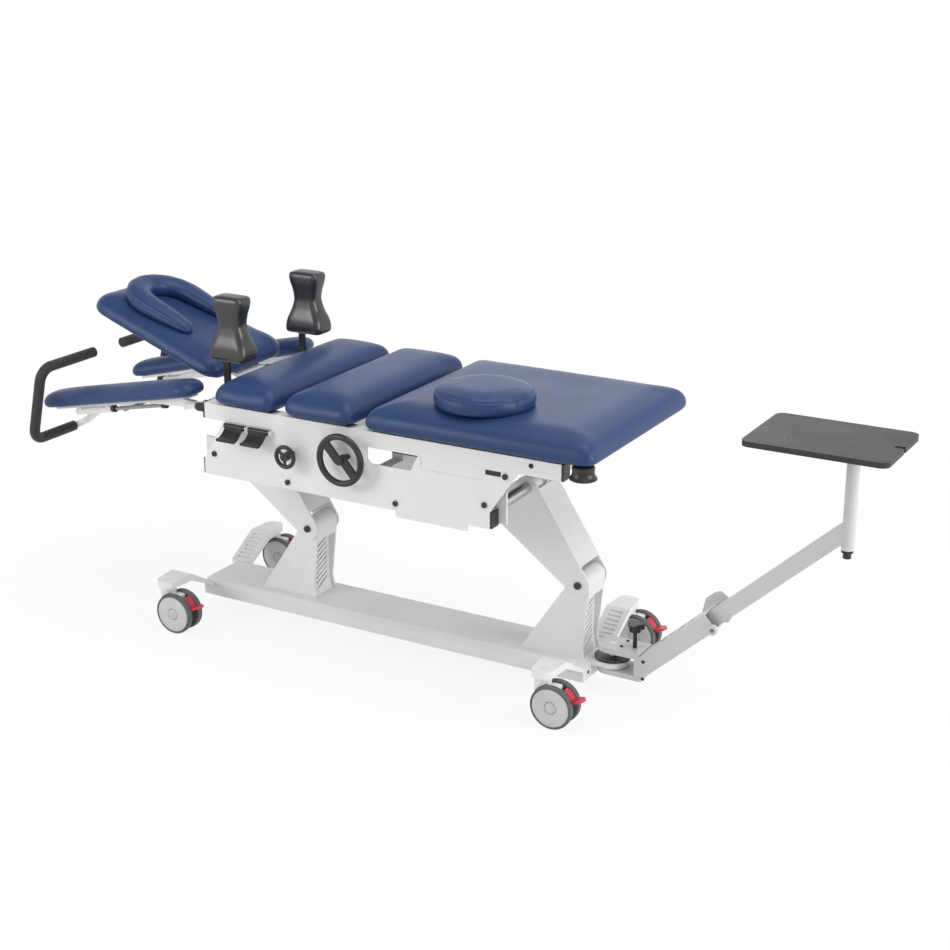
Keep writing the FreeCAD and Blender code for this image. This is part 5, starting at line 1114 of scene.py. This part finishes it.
@dataclass
class Studio:
    """A pale floor, soft light and a camera where the photograph was taken."""

    eye: Point = (2.38841, -4.05743, 2.16392)
    azimuth: float = 29.48
    elevation: float = 18.89
    lens: float = 65.39
    sensor: float = 36.0
    far_limit: float = 100.0
    floor_size: float = 60.0
    floor_shade: Colour = (0.86, 0.86, 0.86)
    floor_glow: float = 0.88
    clear_of_table: tuple[float, float] = (1.3, 2.6)
    sky: float = 0.46
    wall_top: tuple[float, float] = (0.30, 0.75)
    ceiling: float = 0.30
    lamps: Sequence[SoftBox] = (
        SoftBox("front", (-2.3, -3.0, 2.1), (-0.4, 0.0, 0.7), 1.8, 48.0),
        SoftBox("side", (5.4, 0.2, 2.0), (0.3, 0.0, 0.5), 3.0, 150.0),
        SoftBox("top", (0.9, 0.0, 4.6), (0.3, 0.0, 0.6), 4.0, 112.0),
        SoftBox("rim", (-1.1, 3.6, 2.1), (0.2, 0.0, 0.7), 2.6, 10.0),
    )

    def build(self) -> None:
        """Makes the stage, the world, the lamps and the camera."""
        self.floor()
        self.world()
        for lamp in self.lamps:
            lamp.hang()
        self.camera()
        bpy.context.scene.view_settings.view_transform = "Standard"

    @staticmethod
    def background_ray(sheet: Sheet) -> Socket:
        """One where a ray shows the background to the camera, a mirror or glass.

        Args:
            sheet: the sheet of the floor or the world.

        Returns:
            The mask.
        """
        path = sheet.add("LightPath").outputs
        seen = sheet.sums("ADD", path["Is Camera Ray"], path["Is Glossy Ray"])
        return sheet.sums("ADD", seen, path["Is Transmission Ray"], clamp=True)

    def floor(self) -> None:
        """A wide plane that is near white to the eye and keeps the table's shadow."""
        half = self.floor_size / 2
        corners = [(-half, -half, 0), (half, -half, 0), (half, half, 0), (-half, half, 0)]
        mesh = bpy.data.meshes.new("floor")
        mesh.from_pydata(corners, [], [(0, 1, 2, 3)])
        floor = bpy.data.objects.new("floor", mesh)
        bpy.context.scene.collection.objects.link(floor)
        made = bpy.data.materials.new("pale_floor")
        made.use_nodes = True
        made.node_tree.nodes.clear()
        sheet = Sheet(made.node_tree)
        matte = sheet.add("BsdfDiffuse", {"Color": self.floor_shade})
        glow = sheet.add("Emission", {"Color": WHITE, "Strength": 1.0})
        away = sheet.add("VectorMath", {0: sheet.place()}, operation="LENGTH").outputs["Value"]
        glowing = sheet.ramp(away, *self.clear_of_table, self.floor_glow, 1.0)
        share = sheet.sums("MULTIPLY", self.background_ray(sheet), glowing)
        mixed = sheet.add("MixShader", {0: share, 1: matte.outputs[0], 2: glow.outputs[0]})
        sheet.add("OutputMaterial", {0: mixed.outputs[0]})
        mesh.materials.append(made)

    def world(self) -> None:
        """Even light all round, and where the background shows, white walls under a dimmer ceiling."""
        world = bpy.data.worlds.new("studio")
        bpy.context.scene.world = world
        world.use_nodes = True
        world.node_tree.nodes.clear()
        sheet = Sheet(world.node_tree)
        light = sheet.add("Background", {0: WHITE, 1: self.sky})
        rise = sheet.add("SeparateXYZ", {0: sheet.add("TexCoord").outputs["Generated"]}).outputs["Z"]
        shown = sheet.add("Background", {0: WHITE, 1: sheet.ramp(rise, *self.wall_top, 1.0, self.ceiling)})
        shares = {0: self.background_ray(sheet), 1: light.outputs[0], 2: shown.outputs[0]}
        sheet.add("OutputWorld", {0: sheet.add("MixShader", shares).outputs[0]})

    def camera(self) -> None:
        """The photograph's camera: its place, direction and lens."""
        data = bpy.data.cameras.new("camera")
        data.lens = self.lens
        data.sensor_width = self.sensor
        data.clip_end = self.far_limit
        camera = bpy.data.objects.new("camera", data)
        turn, rise = math.radians(self.azimuth), math.radians(self.elevation)
        level = math.cos(rise)
        ahead = Vector((-math.sin(turn) * level, math.cos(turn) * level, -math.sin(rise)))
        camera.location = self.eye
        camera.rotation_euler = ahead.to_track_quat("-Z", "Y").to_euler()
        bpy.context.scene.collection.objects.link(camera)
        bpy.context.scene.camera = camera


def tilt_turn(degrees: float) -> Matrix:
    """The turn of a pad that is tilted about the cross axis."""
    return Matrix.Rotation(math.radians(degrees), 3, "Y")


@dataclass
class FaceRest:
    """The sewn lines of the horseshoe on the head section, in the tilted frame of the head hinge.

    The horseshoe's middle line is a half circle with two straight legs towards the foot end.
    """

    hinge: Point = (-0.654, 0.0, 0.752)
    tilt: float = HEAD_TILT
    centre: float = -0.378
    radius: float = 0.095
    leg: float = 0.171
    base: float = 0.0755
    tall: float = 0.057
    reach: float = 0.11
    side_steps: int = 230
    side_leg_share: float = 0.93
    side_height: float = 0.47
    side_fall: float = 0.20
    back_sweep: tuple[int, int] = (185, -5)
    back_height: float = 0.45
    back_reach: float = 0.09
    back_pucker: float = 0.0003

    def ray(self, spot: Point, ahead: Point) -> Ray:
        """A ray of the tilted frame, turned into the row frame."""
        turn = tilt_turn(self.tilt)
        return Vector(self.hinge) + turn @ Vector(spot), turn @ Vector(ahead)

    def side_seam(self) -> Seam:
        """The line round the outer side, from one end of the horseshoe to the other.

        Returns:
            The seam.
        """
        bent, far = math.pi / 2 * self.radius, self.radius + self.reach
        rays = []
        for step in range(-self.side_steps, self.side_steps + 1):
            across = 1.0 if step > 0 else -1.0
            run = abs(step) / self.side_steps * (bent + self.leg * self.side_leg_share)
            turn = min(run, bent) / self.radius
            out = (-math.cos(turn), across * math.sin(turn))
            past = max(run - bent, 0.0)
            height = self.base + self.tall * (self.side_height - self.side_fall * past / self.leg)
            start = (self.centre + past + out[0] * far, out[1] * far, height)
            rays.append(self.ray(start, (-out[0], -out[1], 0.0)))
        return Seam("face_side_seam", rays)

    def back_seam(self) -> Seam:
        """The short line over the middle of the back.

        Returns:
            The seam.
        """
        first, last = self.back_sweep
        middle = (self.centre - self.radius, 0.0, self.base + self.tall * self.back_height)
        rays = []
        for degrees in range(first, last - 1, -1):
            turn = math.radians(degrees)
            out = (math.cos(turn), 0.0, math.sin(turn))
            start = tuple(value + self.back_reach * away for value, away in zip(middle, out))
            rays.append(self.ray(start, tuple(-value for value in out)))
        return Seam("face_back_seam", rays, pucker=self.back_pucker)


@dataclass
class RoundPad:
    """The sewn lines of the round cushion. Heights are shares of the cushion's own height."""

    box: tuple[Vector, Vector] = field(default_factory=lambda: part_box("round_cushion"))
    reach: float = 0.25
    band_height: float = 0.70
    band_steps: int = 720
    closing_angle: float = -21.5
    closing_foot: float = 0.12
    closing_rise: float = 0.56
    closing_steps: int = 40

    def ray(self, turn: float, height: float) -> Ray:
        """A level ray towards the cushion's upright axis.

        Args:
            turn: the angle round the axis that it comes from.
            height: its height.

        Returns:
            Its start and direction.
        """
        low, high = self.box
        middle = (low + high) / 2
        out = Vector((math.cos(turn), math.sin(turn), 0.0))
        return Vector((middle.x, middle.y, low.z + (high.z - low.z) * height)) + out * self.reach, -out

    def seams(self) -> list[Seam]:
        """The line round the top of the cushion's side, and the short one that closes its band.

        Returns:
            The two seams.
        """
        closing = math.radians(self.closing_angle)
        turns = [math.tau * step / self.band_steps for step in range(self.band_steps + 1)]
        around = [self.ray(turn, self.band_height) for turn in turns]
        upright = [
            self.ray(closing, self.closing_foot + self.closing_rise * step / self.closing_steps)
            for step in range(self.closing_steps + 1)
        ]
        close = Seam("round_closing_seam", upright, pucker=0.0011, spread=0.0042, pitch=0.007)
        return [Seam("round_band_seam", around), close]


def make_cushions() -> list[Cushion]:
    """Every padded piece: the table's sections, the loose cushions, the posts and the armrests.

    Returns:
        The cushions, not built yet.
    """
    upright = Vector((0, 0, 1))
    head, arm, face = tilt_turn(HEAD_TILT) @ upright, tilt_turn(ARMREST_TILT) @ upright, FaceRest()
    posts = [
        Cushion(f"{side.label}_post_pad", f"{side.label}_post", voxel=0.003, cap=0.001, inset=0.0004,
                fill=1.0, evening=22, finish=POST_PLASTIC) for side in Side
    ]
    armrests = [
        Cushion(f"{side.label}_armrest_cushion", f"{side.label}_armrest", arm, voxel=0.005) for side in Side
    ]
    return [
        Cushion("thoracic_cushion", "upper_frame"),
        Cushion("lumbar_cushion", "upper_frame"),
        Cushion("long_cushion", "long_section"),
        Cushion("head_cushion", "head_section", head, voxel=0.006),
        Cushion("face_cushion", "face_rest", head, voxel=0.004, cap=0.004, inset=0.003, evening=24,
                seams=(face.side_seam(), face.back_seam())),
        Cushion("round_cushion", "round_pad", voxel=0.0045, cap=0.004, inset=0.003, evening=8, levels=2,
                pressure=1.6, seams=RoundPad().seams()),
        *posts,
        *armrests,
    ]


def main() -> None:
    """Builds the table's looks, from the groups of nodes to the stage."""
    logging.basicConfig(level=logging.INFO, format="%(message)s")
    EffectGroups.build()
    Structure().dress()
    for end in ("head", "foot"):
        for side in Side:
            Caster(f"{end}_{side.label}").build()
    for side in Side:
        ArmrestStrut(side).build()
    Fittings().build()
    Upholstery(make_cushions()).build()
    Studio().build()


if __name__ == "__main__":
    main()
